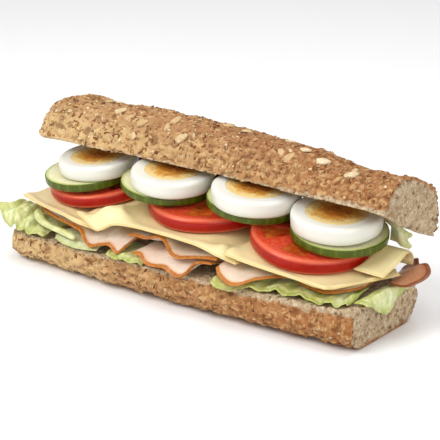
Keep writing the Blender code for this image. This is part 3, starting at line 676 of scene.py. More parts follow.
scatterLook = {
    "bran": {
        "size": (3.6, 1.6, 0.42), "rings": 1, "topDensity": 0.15, "baseDensity": 0.13, "small": 0.4,
        "large": 1.3, "tilt": 0.34, "seed": 5, "material": "branFlakes", "roughness": 0.8, "baked": 0.5,
        "tints": [(0.0, tone(112, 68, 38)), (1.0, tone(238, 216, 172)), (0.16, tone(150, 96, 54)),
                  (0.45, tone(198, 150, 96)), (0.80, tone(226, 194, 142))]},
    "seeds": {
        "size": (2.6, 1.0, 0.6), "rings": 2, "topDensity": 0.007, "baseDensity": 0.008, "small": 0.6,
        "large": 1.2, "tilt": 0.25, "seed": 11, "material": "crustSeeds", "roughness": 0.6, "baked": 0.0,
        "tints": [(0.0, tone(78, 50, 34)), (1.0, tone(140, 92, 56))]},
    "oats": {"size": (8.4, 5.2, 1.5), "crease": 0.22, "lift": 0.35, "back": 13, "backSeed": 14, "extra": 5,
             "seed": 6, "material": "rolledOats", "roughness": 0.75, "baked": 0.0,
             "tints": [(0.0, tone(208, 174, 124)), (1.0, tone(240, 224, 190))],
             "seen": [  # place along the roll, share of the way over it, turn in degrees
                 (-67.0, 0.29, 25.0), (-58.0, 0.23, 35.0), (-48.0, 0.20, 20.0), (-30.0, 0.30, 75.0),
                 (-32.0, 0.21, 110.0), (-20.0, 0.15, 40.0), (-5.0, 0.45, 40.0), (45.0, 0.20, 60.0),
                 (49.0, 0.34, 15.0), (35.0, 0.44, 30.0), (63.0, 0.27, 20.0), (81.0, 0.23, 35.0),
                 (-106.0, 0.47, 60.0), (-84.0, 0.44, 70.0), (10.0, 0.40, 10.0)]},
}


def flakeMesh(name, size, rings, around, crease=0.0):  # a domed, slightly bent flake with an uneven rim
    length, width, thick = [value * mm for value in size]
    points = []
    for ring in range(1, rings + 1):
        share = ring / rings
        for k in range(around):
            angle = 2.0 * math.pi * k / around
            wobble = 1.0 + 0.10 * math.sin(3.0 * angle + 1.0) + 0.06 * math.sin(5.0 * angle)
            x, y = polar(share * wobble, angle)
            groove = crease * math.exp(-(y / 0.16) ** 2)
            z = thick * ((1.0 - share ** 2.6) * 0.5 - groove) + 0.10 * thick * math.sin(4.0 * x)
            points.append((0.5 * length * x, 0.5 * width * y, z - 0.35 * thick * share ** 6))
    rim = (rings - 1) * around
    hub = rings * around
    points += [(0.0, 0.0, thick * (0.5 - crease)), (0.0, 0.0, -0.5 * thick)]
    faces = bandFaces(rings, around)
    for k in range(around):
        after = (k + 1) % around
        faces += [(hub, k, after), (rim + after, rim + k, hub + 1)]
    return solidMesh(name, points, faces)


def namedValue(tree, name, kind="FLOAT"):
    return addNode(tree, "GeometryNodeInputNamedAttribute", {"Name": name}, data_type=kind).outputs[0]


def randomValue(tree, low, high, seed, kind="FLOAT"):
    item = addNode(tree, "FunctionNodeRandomValue", {"Seed": seed}, data_type=kind)
    lowest, highest = [socket for socket in item.inputs if socket.enabled][:2]
    lowest.default_value = low
    highest.default_value = high
    return [socket for socket in item.outputs if socket.enabled][0]


def placeShape(tree, given, points, rotation, scale):  # one copy of the given flake on each point
    shape = addNode(tree, "GeometryNodeObjectInfo", {"Object": given.outputs["Flake"]})
    placed = addNode(tree, "GeometryNodeInstanceOnPoints",
                     {"Points": points, "Instance": shape.outputs["Geometry"], "Rotation": rotation,
                      "Scale": scale})
    return placed.outputs[0]


def finishTree(tree, given, instances, result):  # a random tint for each instance, then real mesh
    tinted = addNode(tree, "GeometryNodeStoreNamedAttribute",
                     {"Geometry": instances, "Name": "tint", "Value": randomValue(tree, 0.0, 1.0, 31)},
                     data_type="FLOAT", domain="INSTANCE")
    real = addNode(tree, "GeometryNodeRealizeInstances", {"Geometry": tinted.outputs[0]})
    painted = addNode(tree, "GeometryNodeSetMaterial",
                      {"Geometry": real.outputs[0], "Material": given.outputs["Material"]})
    tree.links.new(painted.outputs[0], result.inputs[0])
    return tree


def scatterTree():  # flakes spread over the crust, each tipped, turned and sized at random
    inputs = [("Geometry", "Geometry"), ("Flake", "Object"), ("Density", "Float"), ("Seed", "Int"),
              ("Smallest", "Float"), ("Largest", "Float"), ("Tilt", "Float"), ("Material", "Material")]
    tree, given, result = newTree("crustScatter", "GeometryNodeTree", inputs, [("Geometry", "Geometry")])
    density = sums(tree, "MULTIPLY", namedValue(tree, "crust"), given.outputs["Density"])
    spread = addNode(tree, "GeometryNodeDistributePointsOnFaces",
                     {"Mesh": given.outputs["Geometry"], "Density": density, "Seed": given.outputs["Seed"]})
    size = add(tree, "MapRange", {"Value": randomValue(tree, 0.0, 1.0, 3),
                                  "To Min": given.outputs["Smallest"], "To Max": given.outputs["Largest"]})
    placed = placeShape(tree, given, spread.outputs["Points"], spread.outputs["Rotation"], size.outputs[0])
    lean = randomValue(tree, (-1.0, -1.0, 0.0), (1.0, 1.0, 0.0), 7, "FLOAT_VECTOR")
    tipped = add(tree, "VectorMath", {0: lean, "Scale": given.outputs["Tilt"]}, operation="SCALE")
    turn = randomValue(tree, (0.0, 0.0, 0.0), (0.0, 0.0, 6.283), 8, "FLOAT_VECTOR")
    angles = add(tree, "VectorMath", {0: tipped.outputs[0], 1: turn}, operation="ADD")
    turned = addNode(tree, "GeometryNodeRotateInstances",
                     {"Instances": placed, "Rotation": angles.outputs[0], "Local Space": True})
    return finishTree(tree, given, turned.outputs[0], result)


def guideTree():  # one flake at each guide point, facing out of the crust and turned along its own line
    inputs = [("Geometry", "Geometry"), ("Flake", "Object"), ("Material", "Material")]
    tree, given, result = newTree("guidedFlakes", "GeometryNodeTree", inputs, [("Geometry", "Geometry")])
    upright = addNode(tree, "FunctionNodeAlignRotationToVector",
                      {"Vector": namedValue(tree, "facing", "FLOAT_VECTOR")}, axis="Z")
    aligned = addNode(tree, "FunctionNodeAlignRotationToVector",
                      {"Rotation": upright.outputs[0], "Vector": namedValue(tree, "along", "FLOAT_VECTOR")},
                      axis="X", pivot_axis="Z")
    placed = placeShape(tree, given, given.outputs["Geometry"], aligned.outputs[0], namedValue(tree, "scale"))
    return finishTree(tree, given, placed, result)


trees = {"scatter": scatterTree(), "guide": guideTree()}


def runTree(name, tree, hostMesh, settings):  # evaluates a tree on a host mesh and keeps what it makes
    host = addObject(f"{name}_host", hostMesh)
    modifier = host.modifiers.new(name, "NODES")
    modifier.node_group = tree
    for socket in tree.interface.items_tree:
        if socket.in_out == "INPUT" and socket.name in settings:
            modifier[socket.identifier] = settings[socket.name]
    host.update_tag()
    bpy.context.view_layer.update()
    mesh = bpy.data.meshes.new_from_object(host.evaluated_get(bpy.context.evaluated_depsgraph_get()))
    mesh.name = name
    host.modifiers.remove(modifier)
    bpy.data.objects.remove(host)
    bpy.data.meshes.remove(hostMesh)
    return addObject(name, mesh)


def flakeMaterial(look):  # baked is how much darker the flakes get towards the cut end
    material, tree, shader, place = startMaterial(look["material"], look["roughness"], specular=0.3)
    ramp = add(tree, "ValToRGB", {"Fac": mask(tree, "tint")})
    ramp.color_ramp.interpolation = "LINEAR"
    for index, (spot, colour) in enumerate(look["tints"]):
        mark = ramp.color_ramp.elements[index] if index < 2 else ramp.color_ramp.elements.new(spot)
        mark.position = spot
        mark.color = colour
    shade = layered(tree, {}, (1.0, 1.0, 1.0, 1.0), [
        (mottled(tree, place, 700.0, 2.2, 2.0), 0.6, tone(196, 176, 150))])
    colour = blendTone(tree, 1.0, ramp.outputs[0], shade, "MULTIPLY")
    colour = layered(tree, breadLook, colour, [
        (ranged(tree, axisOf(tree, place, 0), -0.10, 0.09), look["baked"], "crustRight")])
    endMaterial(tree, shader, colour, grained(tree, place, 1200.0, 0.4), 0.35, 0.0004)
    return material


def oatGuides():  # where the oats lie on the upper crust: those seen in the photo and more at the back
    look = scatterLook["oats"]
    shown = list(look["seen"])
    chance = random.Random(look["backSeed"])
    for k in range(look["back"]):
        x = mix(top["left"] + 22.0, top["right"] - 12.0, (k + 0.5) / look["back"]) + chance.uniform(-4, 4)
        shown.append((x, chance.uniform(0.52, 0.86), chance.uniform(0.0, 180.0)))
    whole = len(shown)
    chance = random.Random(look["seed"])
    for k in range(look["extra"]):
        x = mix(top["left"] + 10.0, top["right"] - 8.0, (k + 0.5) / look["extra"])
        shown.append((x + chance.uniform(-5, 5), chance.uniform(0.10, 0.60), chance.uniform(0.0, 180.0)))
    spots = []
    facing = []
    along = []
    scale = []
    for index, (x, share, turn) in enumerate(shown):
        place = topDomePoint(x, share)
        ahead = (topDomePoint(x + 1.0, share) - topDomePoint(x - 1.0, share)).normalized()
        around = (topDomePoint(x, share + 0.01) - topDomePoint(x, share - 0.01)).normalized()
        normal = ahead.cross(around).normalized()
        outside = (place + normal * crustRelief(place, top["seed"])[0] + drawingShift) * mm
        onCrust = topBread.closest_point_on_mesh(outside)[1]
        spots.append(onCrust / mm - drawingShift + normal * look["lift"])
        facing.append(normal)
        along.append(Matrix.Rotation(math.radians(turn), 3, normal) @ ahead)
        scale.append(chance.uniform(0.8, 1.05) if index < whole else chance.uniform(0.55, 0.85))
    mesh = bpy.data.meshes.new("oatGuides")
    mesh.from_pydata([tuple((spot + drawingShift) * mm) for spot in spots], [], [])
    storeValues(mesh, "facing", [tuple(value) for value in facing], "FLOAT_VECTOR")
    storeValues(mesh, "along", [tuple(value) for value in along], "FLOAT_VECTOR")
    storeValues(mesh, "scale", scale)
    return mesh


def crustHost(piece):  # the crust's own mesh with a mask of where flakes may lie
    mesh = piece.data.copy()
    crumb = np.zeros(len(mesh.vertices), np.float32)
    mesh.attributes["crumb"].data.foreach_get("value", crumb)
    height = readVertices(mesh)[:, 2] / mm
    storeValues(mesh, "crust", np.clip(1.0 - 1.6 * crumb, 0.0, 1.0) * softStep(1.2, 3.0, height))
    return mesh


def scatterPiece(name, tree, host, shape, settings):
    made = runTree(name, trees[tree], host, {"Flake": shape, **settings})
    finishPiece(made, "crust")
    print(name, len(made.data.polygons), "faces")


def makeScatter():
    share = 1.0
    for kind in ("bran", "seeds"):
        look = scatterLook[kind]
        material = flakeMaterial(look)
        shape = addObject(f"{kind}_shape", flakeMesh(f"{kind}_shape", look["size"], look["rings"], 7))
        for side, piece in (("top", topBread), ("base", bottomBread)):
            scatterPiece(f"{kind}_{side}", "scatter", crustHost(piece), shape, {
                "Density": look[f"{side}Density"] * share / mm ** 2, "Seed": look["seed"],
                "Smallest": look["small"], "Largest": look["large"], "Tilt": look["tilt"],
                "Material": material})
        bpy.data.objects.remove(shape)
    look = scatterLook["oats"]
    shape = addObject("oat_shape", flakeMesh("oat_shape", look["size"], 4, 14, look["crease"]))
    scatterPiece("oats_top", "guide", oatGuides(), shape, {"Material": flakeMaterial(look)})
    bpy.data.objects.remove(shape)


makeScatter()


# Round slices

roundLook = {
    "tomato": {"segments": 132, "step": 0.75, "chambers": 6, "chamberDeep": 1.3, "inner": 0.24, "outer": 0.84,
               "turns": [0.4, 1.15, 0.31]},
    "cucumber": {"segments": 132, "step": 0.8},
    "egg": {"segments": 120, "step": 0.6, "yolkShare": 0.70, "crumble": 0.5},
}


def tomatoShape(place, turn):
    look = roundLook["tomato"]
    radius = place["radius"]
    half = place["half"]

    def shape(r, z, angle):
        share = r / radius
        side = smoothStep(half - 0.5, half - 1.9, abs(z)) * smoothStep(0.9, 0.97, share)
        lobes = 1.0 + 0.008 * math.cos(5.0 * angle + turn) + 0.005 * math.sin(3.0 * angle)
        wave = math.cos(look["chambers"] * (angle + turn))
        inner = look["inner"] + 0.04 * math.sin(7.0 * angle)
        hole = smoothStep(-0.35, 0.15, wave) * smoothStep(inner, inner + 0.12, share)
        hole *= smoothStep(look["outer"], look["outer"] - 0.08, share) * (1.0 - side)
        x, y = polar(r, angle)
        grain = 0.06 * noiseAt((x, y, z), 2.0, turn)
        dip = look["chamberDeep"] * hole * (0.8 + 0.5 * noiseAt((x, y, 0.0), 3.0))
        return r * lobes, z - math.copysign(dip, z) + math.copysign(grain, z) * (1.0 - side), side, hole

    return shape


def cucumberShape(place, turn):
    half = place["half"]

    def shape(r, z, angle):
        share = r / place["radius"]
        side = smoothStep(half - 0.1, half - 0.5, abs(z)) * smoothStep(0.96, 0.985, share)
        ridges = 1.0 + 0.004 * math.cos(22.0 * angle + turn) + 0.010 * math.cos(3.0 * angle + turn)
        seeds = math.sin(9.0 * angle + turn) * math.sin(0.9 * r + turn)
        soft = smoothStep(0.62, 0.45, share)
        grain = 0.05 * noiseAt((*polar(r, angle), z), 2.4, turn)
        return r * ridges, z + math.copysign(grain - 0.15 * soft * max(seeds, 0.0), z), side, soft

    return shape


def eggWhiteShape(place, turn):
    def shape(r, z, angle):
        x, y = polar(r, angle)
        wave = 1.0 + 0.010 * math.cos(2.0 * angle + turn) + 0.006 * math.cos(5.0 * angle + 2.0 * turn)
        lift = 0.10 * noiseAt((x, y, z), 6.0, turn) + 0.03 * noiseAt((x, y, z), 1.6, turn)
        # the fourth value, the height across the slice, sets the painted shade on the white's lower side
        return r * wave, z + lift, 0.0, smoothStep(-place["half"], place["half"], z)

    return shape


def yolkShape(place, turn):
    def shape(r, z, angle):
        x, y = polar(r, angle)
        share = r / place["radius"]
        near = cellAt((x, y, 0.0), 2.3, turn)[0]
        rough = 0.5 * noiseAt((x, y, 0.0), 2.6, turn) + 0.4 * noiseAt((x, y, 0.0), 1.1, turn)
        rough += 0.5 * (0.4 - near)
        ring = 1.0 + 0.02 * noiseAt((*polar(4.0, angle), turn), 1.0)
        upper = 1.0 if z > 0.0 else 0.0
        sunk = -0.25 * smoothStep(0.9, 0.3, share)
        lift = upper * (roundLook["egg"]["crumble"] * rough + sunk)
        # the fourth value, the crumbs' height, also sets a painted highlight on the raised crumbs
        return r * ring, z + lift, share, rough

    return shape


def tomatoMaterial():
    look = {"skin": tone(178, 22, 6), "skinDeep": tone(152, 12, 4), "paintedRimHighlight": tone(232, 118, 84),
            "wall": tone(196, 48, 26), "wallPale": tone(212, 84, 54), "core": tone(222, 116, 80),
            "gel": tone(156, 26, 8), "gelGold": tone(208, 112, 40)}
    material, tree, shader, place = startMaterial("tomatoFlesh", 0.24, 0.04, 0.04, 0.28)
    away = fromMiddle(tree)[1]
    blotch = mottled(tree, place, 130.0, 2.4, 3.0)
    flesh = blendTone(tree, mottled(tree, place, 520.0, 2.2, 2.0), look["wall"], look["wallPale"])
    colour = layered(tree, look, flesh, [
        # the second layer on the next line is a painted highlight: a pale ring just inside the skin on both
        # cut faces
        (ranged(tree, away, 0.17, 0.10), 1.0, "core"), (ranged(tree, away, 0.44, 0.49), 0.65, "paintedRimHighlight"),
        (mask(tree, "depth"), 1.0, blendTone(tree, blotch, look["gel"], look["gelGold"])),
        (mask(tree, "skin"), 1.0, blendTone(tree, blotch, look["skin"], look["skinDeep"]))])
    endMaterial(tree, shader, colour, grained(tree, place, 700.0, 0.3), 0.12, 0.0005)
    return material


def cucumberMaterial():
    look = {"skin": tone(70, 82, 2), "stripe": tone(104, 120, 26), "rim": tone(180, 190, 104),
            "flesh": tone(234, 230, 196), "fleshDeep": tone(220, 216, 168), "seed": tone(222, 216, 160)}
    material, tree, shader, place = startMaterial("cucumberFlesh", 0.36, 0.05, 0.03, 0.3)
    centred, away = fromMiddle(tree)
    angle = sums(tree, "ARCTAN2", axisOf(tree, centred, 1), axisOf(tree, centred, 0))
    spread = add(tree, "CombineXYZ", {"X": sums(tree, "MULTIPLY", angle, 7.0)})
    stripes = add(tree, "TexNoise", {"Vector": spread.outputs[0], "Scale": 1.0, "Detail": 3.0}).outputs[0]
    skin = blendTone(tree, ranged(tree, stripes, 0.42, 0.80), look["skin"], look["stripe"])
    flesh = blendTone(tree, mottled(tree, place, 260.0, 2.0, 2.0), look["flesh"], look["fleshDeep"])
    colour = layered(tree, look, flesh, [
        (ranged(tree, away, 0.33, 0.22), 0.6, "seed"), (ranged(tree, away, 0.445, 0.492), 1.0, "rim"),
        (ranged(tree, away, 0.488, 0.498), 1.0, "skin"), (mask(tree, "skin"), 1.0, skin)])
    endMaterial(tree, shader, colour, grained(tree, place, 600.0, 0.3), 0.15, 0.0005)
    return material


def eggWhiteMaterial():
    look = {"white": tone(232, 231, 222), "shade": tone(212, 211, 196)}
    material, tree, shader, place = startMaterial("boiledEggWhite", 0.3, coat=0.1, subsurface=0.1)
    colour = layered(tree, look, look["white"], [
        (mottled(tree, place, 90.0, 1.6, 2.0), 0.3, "shade"),
        # painted shade: the white is darker towards the lower side of the slice
        (ranged(tree, mask(tree, "depth"), 0.45, 0.0), 0.8, "shade")])
    endMaterial(tree, shader, colour, grained(tree, place, 500.0, 0.2), 0.06, 0.0005)
    return material


def yolkMaterial():
    look = {"rim": tone(222, 194, 130), "gold": tone(204, 146, 52), "amber": tone(182, 106, 24),
            "brown": tone(128, 76, 28)}
    material, tree, shader, place = startMaterial("boiledEggYolk", 0.7, subsurface=0.05)
    share = mask(tree, "skin")
    blotch = sums(tree, "SUBTRACT", mottled(tree, place, 230.0, 2.6, 4.0), 0.5)
    uneven = sums(tree, "MULTIPLY_ADD", blotch, 0.34, share)
    spots = sums(tree, "MULTIPLY", speckled(tree, place, 300.0, 0.25, 0.42), ranged(tree, share, 0.85, 0.6))
    colour = layered(tree, look, look["gold"], [
        (ranged(tree, uneven, 0.56, 0.30), 1.0, "amber"), (ranged(tree, uneven, 0.56, 0.84), 1.0, "rim"),
        # the last layer is a painted highlight: raised crumbs on the cut face are paler, in the yolk's rim
        # colour
        (spots, 0.55, "brown"), (ranged(tree, mask(tree, "depth"), 0.1, 0.55), 0.45, "rim")])
    endMaterial(tree, shader, colour, grained(tree, place, 1100.0, 0.6), 0.4, 0.0005)
    return material


def addSlice(name, node, kind, place, corners, material, shape, closedRing=False, finer=1.0):
    look = roundLook[kind]
    piece = roundSlice(name, place, corners, look["segments"], look["step"] * finer, material, shape,
                       closedRing)
    finishPiece(piece, node[:-2], node)


def makeTomatoes():
    flesh = tomatoMaterial()
    for index in range(1, 4):
        place = sliceFrame(f"tomato_{index}")
        r = place["radius"]
        h = place["half"]
        corners = [(0.8, h), (r - 1.9, h), (r - 0.8, h - 0.55), (r - 0.1, h - 1.9), (r, 0.0),
                   (r - 0.1, 1.9 - h), (r - 0.8, 0.55 - h), (r - 1.9, -h), (0.8, -h)]
        turn = roundLook["tomato"]["turns"][index - 1]
        addSlice(f"tomato_slice_{index}", f"tomato_{index}", "tomato", place, corners, flesh,
                 tomatoShape(place, turn))


def makeCucumbers():
    flesh = cucumberMaterial()
    for index in range(1, 5):
        place = sliceFrame(f"cucumber_{index}")
        r = place["radius"]
        h = place["half"]
        corners = [(0.8, h), (r - 0.5, h), (r, h - 0.45), (r, 0.45 - h), (r - 0.5, -h), (0.8, -h)]
        addSlice(f"cucumber_slice_{index}", f"cucumber_{index}", "cucumber", place, corners, flesh,
                 cucumberShape(place, 1.7 * index))


def makeEggs():
    white = eggWhiteMaterial()
    yolk = yolkMaterial()
    for index in range(1, 5):
        place = sliceFrame(f"egg_white_{index}")
        r = place["radius"] * 0.99
        h = place["half"]
        inner = r * roundLook["egg"]["yolkShare"]
        corners = [(inner - 0.4, h - 0.35), (inner + 0.6, h - 0.2), (r - 2.4, h), (r - 1.2, h - 0.25),
                   (r - 0.4, h - 0.9), (r - 0.05, h - 2.0), (r - 0.05, 0.0), (r - 0.3, 1.0 - h),
                   (r - 1.0, -h), (inner - 0.4, -h)]
        addSlice(f"egg_ring_{index}", f"egg_white_{index}", "egg", place, corners, white,
                 eggWhiteShape(place, 1.3 * index), closedRing=True)
        centre = {**place, "radius": inner}
        core = [(0.5, h - 0.3), (inner - 0.8, h - 0.25), (inner, h - 0.8), (inner, 0.6 - h), (0.5, 0.2 - h)]
        addSlice(f"egg_middle_{index}", f"egg_yolk_{index}", "egg", centre, core, yolk,
                 yolkShape(centre, 2.1 * index), finer=0.8)


makeTomatoes()
makeCucumbers()
makeEggs()
print("tomato, cucumber and egg slices made")


# Cheese

layers = {"gap": 0.35, "cheese": 1.8, "ham": 1.5, "leaf": 0.9, "leafSpace": 4.6}


def tomatoFloor(x, y):  # underside of the tomato slices, rising smoothly away from them
    lowest = 60.0
    for cx, cy, cz, radius, thick, right, front in tomatoSlices:
        plane = cz - thick / 2.0 / math.cos(math.radians(7.0))
        plane -= math.tan(math.radians(right)) * (x - cx)
        plane += math.tan(math.radians(front)) * (y - cy)
        outside = max(math.hypot(x - cx, y - cy) - radius - 3.2, 0.0)
        lowest = min(lowest, plane + 0.045 * outside * outside)
    return lowest


def rightCheeseCap(x):
    return 60.0 if x < 86.0 else 29.1 - 0.02 * (x - 86.0)


def cheeseHeight(x, y):
    return tomatoFloor(x, y) - layers["gap"] - layers["cheese"] / 2.0 - 0.4


def cheesePlace(front, back, lower, cap):
    def place(u, v):
        near = spline(front, u)
        far = spline(back, u)
        x = mix(near.x, far.x, v)
        y = mix(near.y, far.y, v)
        flat = min(cheeseHeight(x, y) - lower(x), cap(x))
        return (x, y, mix(near.z, flat, smoothStep(0.0, 0.13, v)))

    return place


def cheeseRelief(point, u, v):
    return 0.12 * noiseAt(point, 9.0, 3.0) + 0.04 * noiseAt(point, 2.5, 1.0)


def cheeseMaterial():
    look = {"top": tone(236, 222, 172), "deep": tone(230, 210, 150), "edge": tone(224, 198, 134)}
    material, tree, shader, place = startMaterial("slicedCheese", 0.42, coat=0.05, subsurface=0.08)
    streaks = add(tree, "Mapping", {"Vector": place, "Scale": (0.35, 1.0, 1.0), "Rotation": (0.0, 0.0, 0.5)})
    colour = layered(tree, look, look["top"], [
        (mottled(tree, place, 70.0, 1.8, 3.0), 0.6, "deep"),
        (mottled(tree, streaks.outputs[0], 420.0, 1.8, 2.0), 0.25, "deep"),
        (ranged(tree, mask(tree, "edge"), 0.9, 0.1), 0.8, "edge")])
    endMaterial(tree, shader, colour, grained(tree, place, 500.0, 0.3), 0.1, 0.0005)
    return material


cheeseSlices = {
    "cheese_1": {
        "front": [
            (-114.4, -26.5, 32.8), (-104.5, -29.5, 32.4), (-94.6, -32.2, 32.0), (-77.0, -36.1, 31.6),
            (-64.8, -38.6, 30.6), (-54.8, -37.4, 29.0)],
        "back": [
            (-114.0, 31.0, 0.0), (-84.0, 33.0, 0.0), (-56.0, 33.0, 0.0)],
        "lower": lambda x: (layers["cheese"] + layers["gap"] + 0.4) * smoothStep(-84.0, -72.0, x),
        "cap": lambda x: 33.4},
    "cheese_2": {
        "front": [
            (-69.0, -33.5, 34.2), (-58.0, -38.6, 32.6), (-48.5, -41.0, 30.6), (-40.5, -38.6, 34.4),
            (-29.0, -38.0, 35.8), (-8.0, -38.0, 36.0), (14.0, -38.0, 35.0), (27.0, -37.8, 32.2),
            (38.0, -37.4, 30.4)],
        "back": [
            (-62.0, 33.0, 0.0), (-12.0, 36.0, 0.0), (38.0, 30.0, 0.0)],
        "lower": lambda x: (layers["cheese"] + layers["gap"] + 1.3) * smoothStep(11.0, 26.0, x),
        "cap": lambda x: 40.0},
    "cheese_3": {
        "front": [
            (31.0, -38.0, 34.2), (44.0, -38.2, 33.0), (58.0, -38.2, 32.0), (72.0, -38.4, 31.4),
            (82.0, -38.2, 30.7), (90.5, -37.6, 29.8)],
        "back": [
            (36.0, 26.0, 0.0), (70.0, 26.5, 0.0), (107.5, 2.0, 0.0)],
        "lower": lambda x: 0.0,
        "cap": rightCheeseCap},
}
curl = {"cut": 106.4, "inner": 94.5, "profile": [
    (-11.5, 31.4), (-4.0, 33.2), (3.0, 35.4), (9.0, 37.4), (13.0, 37.0), (15.4, 34.0), (15.3, 31.8),
    (14.9, 30.3)]}


def profilePoint(profile, share):
    point = spline([(x, 0.0, z) for x, z in profile], share)
    return point.x, point.z


def curlPlace(u, v):  # rises from the tomato towards the back, folds over and is cut off with the roll
    y, z = profilePoint(curl["profile"], u)
    cx, cy, radius = tomatoSlices[2][0], tomatoSlices[2][1], tomatoSlices[2][3]
    tomatoEdge = cx + math.sqrt(radius ** 2 - (y - cy) ** 2) + 1.3
    inner = mix(tomatoEdge, curl["inner"], smoothStep(0.45, 0.65, u))
    return (mix(curl["cut"], inner, v), y, z + 0.6 * v * (1.0 - u))


cheese = cheeseMaterial()
for name, cut in cheeseSlices.items():
    place = cheesePlace(cut["front"], cut["back"], cut["lower"], cut["cap"])
    piece = layerSheet(f"{name}_slice", place, 96, 60, layers["cheese"], cheese, cheeseRelief)
    finishPiece(piece, "cheese", name)
piece = layerSheet("cheese_4_curl", curlPlace, 90, 24, layers["cheese"], cheese, cheeseRelief, rowBias=1.0)
finishPiece(piece, "cheese", "cheese_4")
print("cheese made")


# Poultry slices

def betweenLayers(x, y, share):
    low = baseTop(x) + layers["leafSpace"]
    high = tomatoFloor(x, y) - 2.0 * (layers["cheese"] + layers["gap"]) - 1.4
    high = min(high, rightCheeseCap(x) - 2.5)
    return mix(low, max(high, low), share)


def hamPlace(front, backY, share):
    count = len(front)

    def place(u, v):
        near = spline(front, u)
        y = mix(near.y, backY, v)
        ripple = 0.35 * math.sin(u * count * 1.9 + 2.2 * v)
        flat = betweenLayers(near.x, y, share) + ripple
        return (near.x, y, mix(near.z, flat, smoothStep(0.0, 0.24, v)))

    return place


def hamRelief(point, u, v):
    return 0.22 * noiseAt(point, 6.0, 8.0) + 0.07 * noiseAt(point, 1.8, 4.0)


def hamMaterial(name, look):
    material, tree, shader, place = startMaterial(name, 0.36, coat=0.12, subsurface=0.1)
    broad = mottled(tree, place, 120.0, 2.2, 3.0)
    fine = mottled(tree, place, 600.0, 2.2, 2.0)
    waver = sums(tree, "MULTIPLY_ADD", sums(tree, "SUBTRACT", broad, 0.5), 1.2, mask(tree, "front"))
    rind = blendTone(tree, fine, look["rind"], look["rindDeep"])
    colour = layered(tree, look, look["flesh"], [
        (broad, 0.7, "fleshPink"), (fine, 0.4, "fibre"), (ranged(tree, waver, 4.2, 1.8), 0.7, "blush"),
        (ranged(tree, waver, 2.3, 1.5), 1.0, rind), (ranged(tree, mask(tree, "edge"), 0.9, 0.4), 1.0, rind)])
    endMaterial(tree, shader, colour, grained(tree, place, 650.0, 0.4), 0.18, 0.0005)
    return material


hamSlices = {
    "ham_1": {
        "front": [
            (-99.0, -28.0, 29.0), (-93.7, -30.6, 28.3), (-80.4, -34.3, 27.4), (-70.1, -36.2, 26.8),
            (-63.5, -37.4, 25.6), (-59.8, -39.5, 22.8), (-53.9, -41.4, 20.4), (-47.6, -41.0, 22.4),
            (-41.0, -41.0, 23.8), (-35.4, -41.6, 20.8), (-31.8, -39.2, 24.8)],
        "backY": 20.0, "share": 0.45},
    "ham_2": {
        "front": [
            (-25.0, -41.0, 23.2), (-19.5, -42.0, 23.4), (-14.2, -44.0, 21.0), (-8.1, -44.4, 20.6),
            (-1.9, -44.8, 21.6), (3.4, -45.6, 20.2), (8.4, -46.2, 19.4), (12.4, -45.0, 21.8),
            (15.6, -41.0, 26.6), (23.8, -38.6, 27.4)],
        "backY": 18.0, "share": 0.15},
    "ham_3": {
        "front": [
            (-31.0, -37.0, 30.6), (-24.8, -37.6, 31.4), (-18.9, -38.0, 31.6), (-12.2, -36.0, 33.2),
            (-6.6, -37.4, 32.0), (-2.3, -39.0, 27.6), (3.0, -39.6, 26.4), (10.6, -39.4, 28.0),
            (19.0, -39.0, 29.6), (26.0, -37.4, 29.8)],
        "backY": 24.0, "share": 0.62},
    "ham_4": {
        "front": [
            (27.0, -38.4, 26.6), (31.6, -42.6, 24.4), (39.8, -45.4, 22.6), (45.4, -44.6, 23.5),
            (50.8, -40.8, 25.8), (57.0, -34.6, 26.8), (64.0, -29.0, 26.8)],
        "backY": 20.0, "share": 0.5},
    "ham_5": {
        "front": [
            (70.0, -29.0, 25.3), (80.0, -31.4, 25.2), (88.0, -31.6, 25.3), (94.0, -25.0, 25.3),
            (98.0, -16.0, 25.3)],
        "backY": 14.0, "share": 0.5},
}
hamEndInner = [(99.4, 19.5, 26.2), (100.5, 14.0, 25.4), (102.5, 6.0, 25.2), (105.0, -3.0, 25.2)]
hamEndOuter = [(104.5, 20.5, 31.0), (107.3, 19.0, 32.0), (109.8, 15.8, 30.8), (115.0, 14.4, 32.6),
               (119.8, 9.5, 31.0), (120.6, 4.0, 29.2), (117.0, -3.8, 27.0)]


def hamEndPlace(u, v):
    point = spline(hamEndOuter, u).lerp(spline(hamEndInner, u), v)
    point.z -= 0.45 * math.sin(math.pi * v) * (1.0 + math.sin(u * 7.0))
    return tuple(point)


ham = hamMaterial("cookedPoultry", {
    "flesh": tone(236, 218, 200), "fleshPink": tone(226, 192, 172), "fibre": tone(242, 230, 214),
    "rind": tone(206, 134, 54), "rindDeep": tone(162, 88, 30), "blush": tone(226, 174, 126)})
roast = hamMaterial("roastPoultryEnd", {
    "flesh": tone(184, 130, 98), "fleshPink": tone(160, 100, 70), "fibre": tone(198, 150, 116),
    "rind": tone(142, 80, 42), "rindDeep": tone(112, 56, 30), "blush": tone(170, 104, 66)})
for name, cut in hamSlices.items():
    place = hamPlace(cut["front"], cut["backY"], cut["share"])
    piece = layerSheet(f"{name}_slice", place, 130, 56, layers["ham"], ham, hamRelief)
    finishPiece(piece, "ham", name)
piece = layerSheet("ham_6_end", hamEndPlace, 70, 36, layers["ham"], roast, hamRelief, rowBias=1.2)
finishPiece(piece, "ham", "ham_6")
print("poultry slices made")


# Lettuce

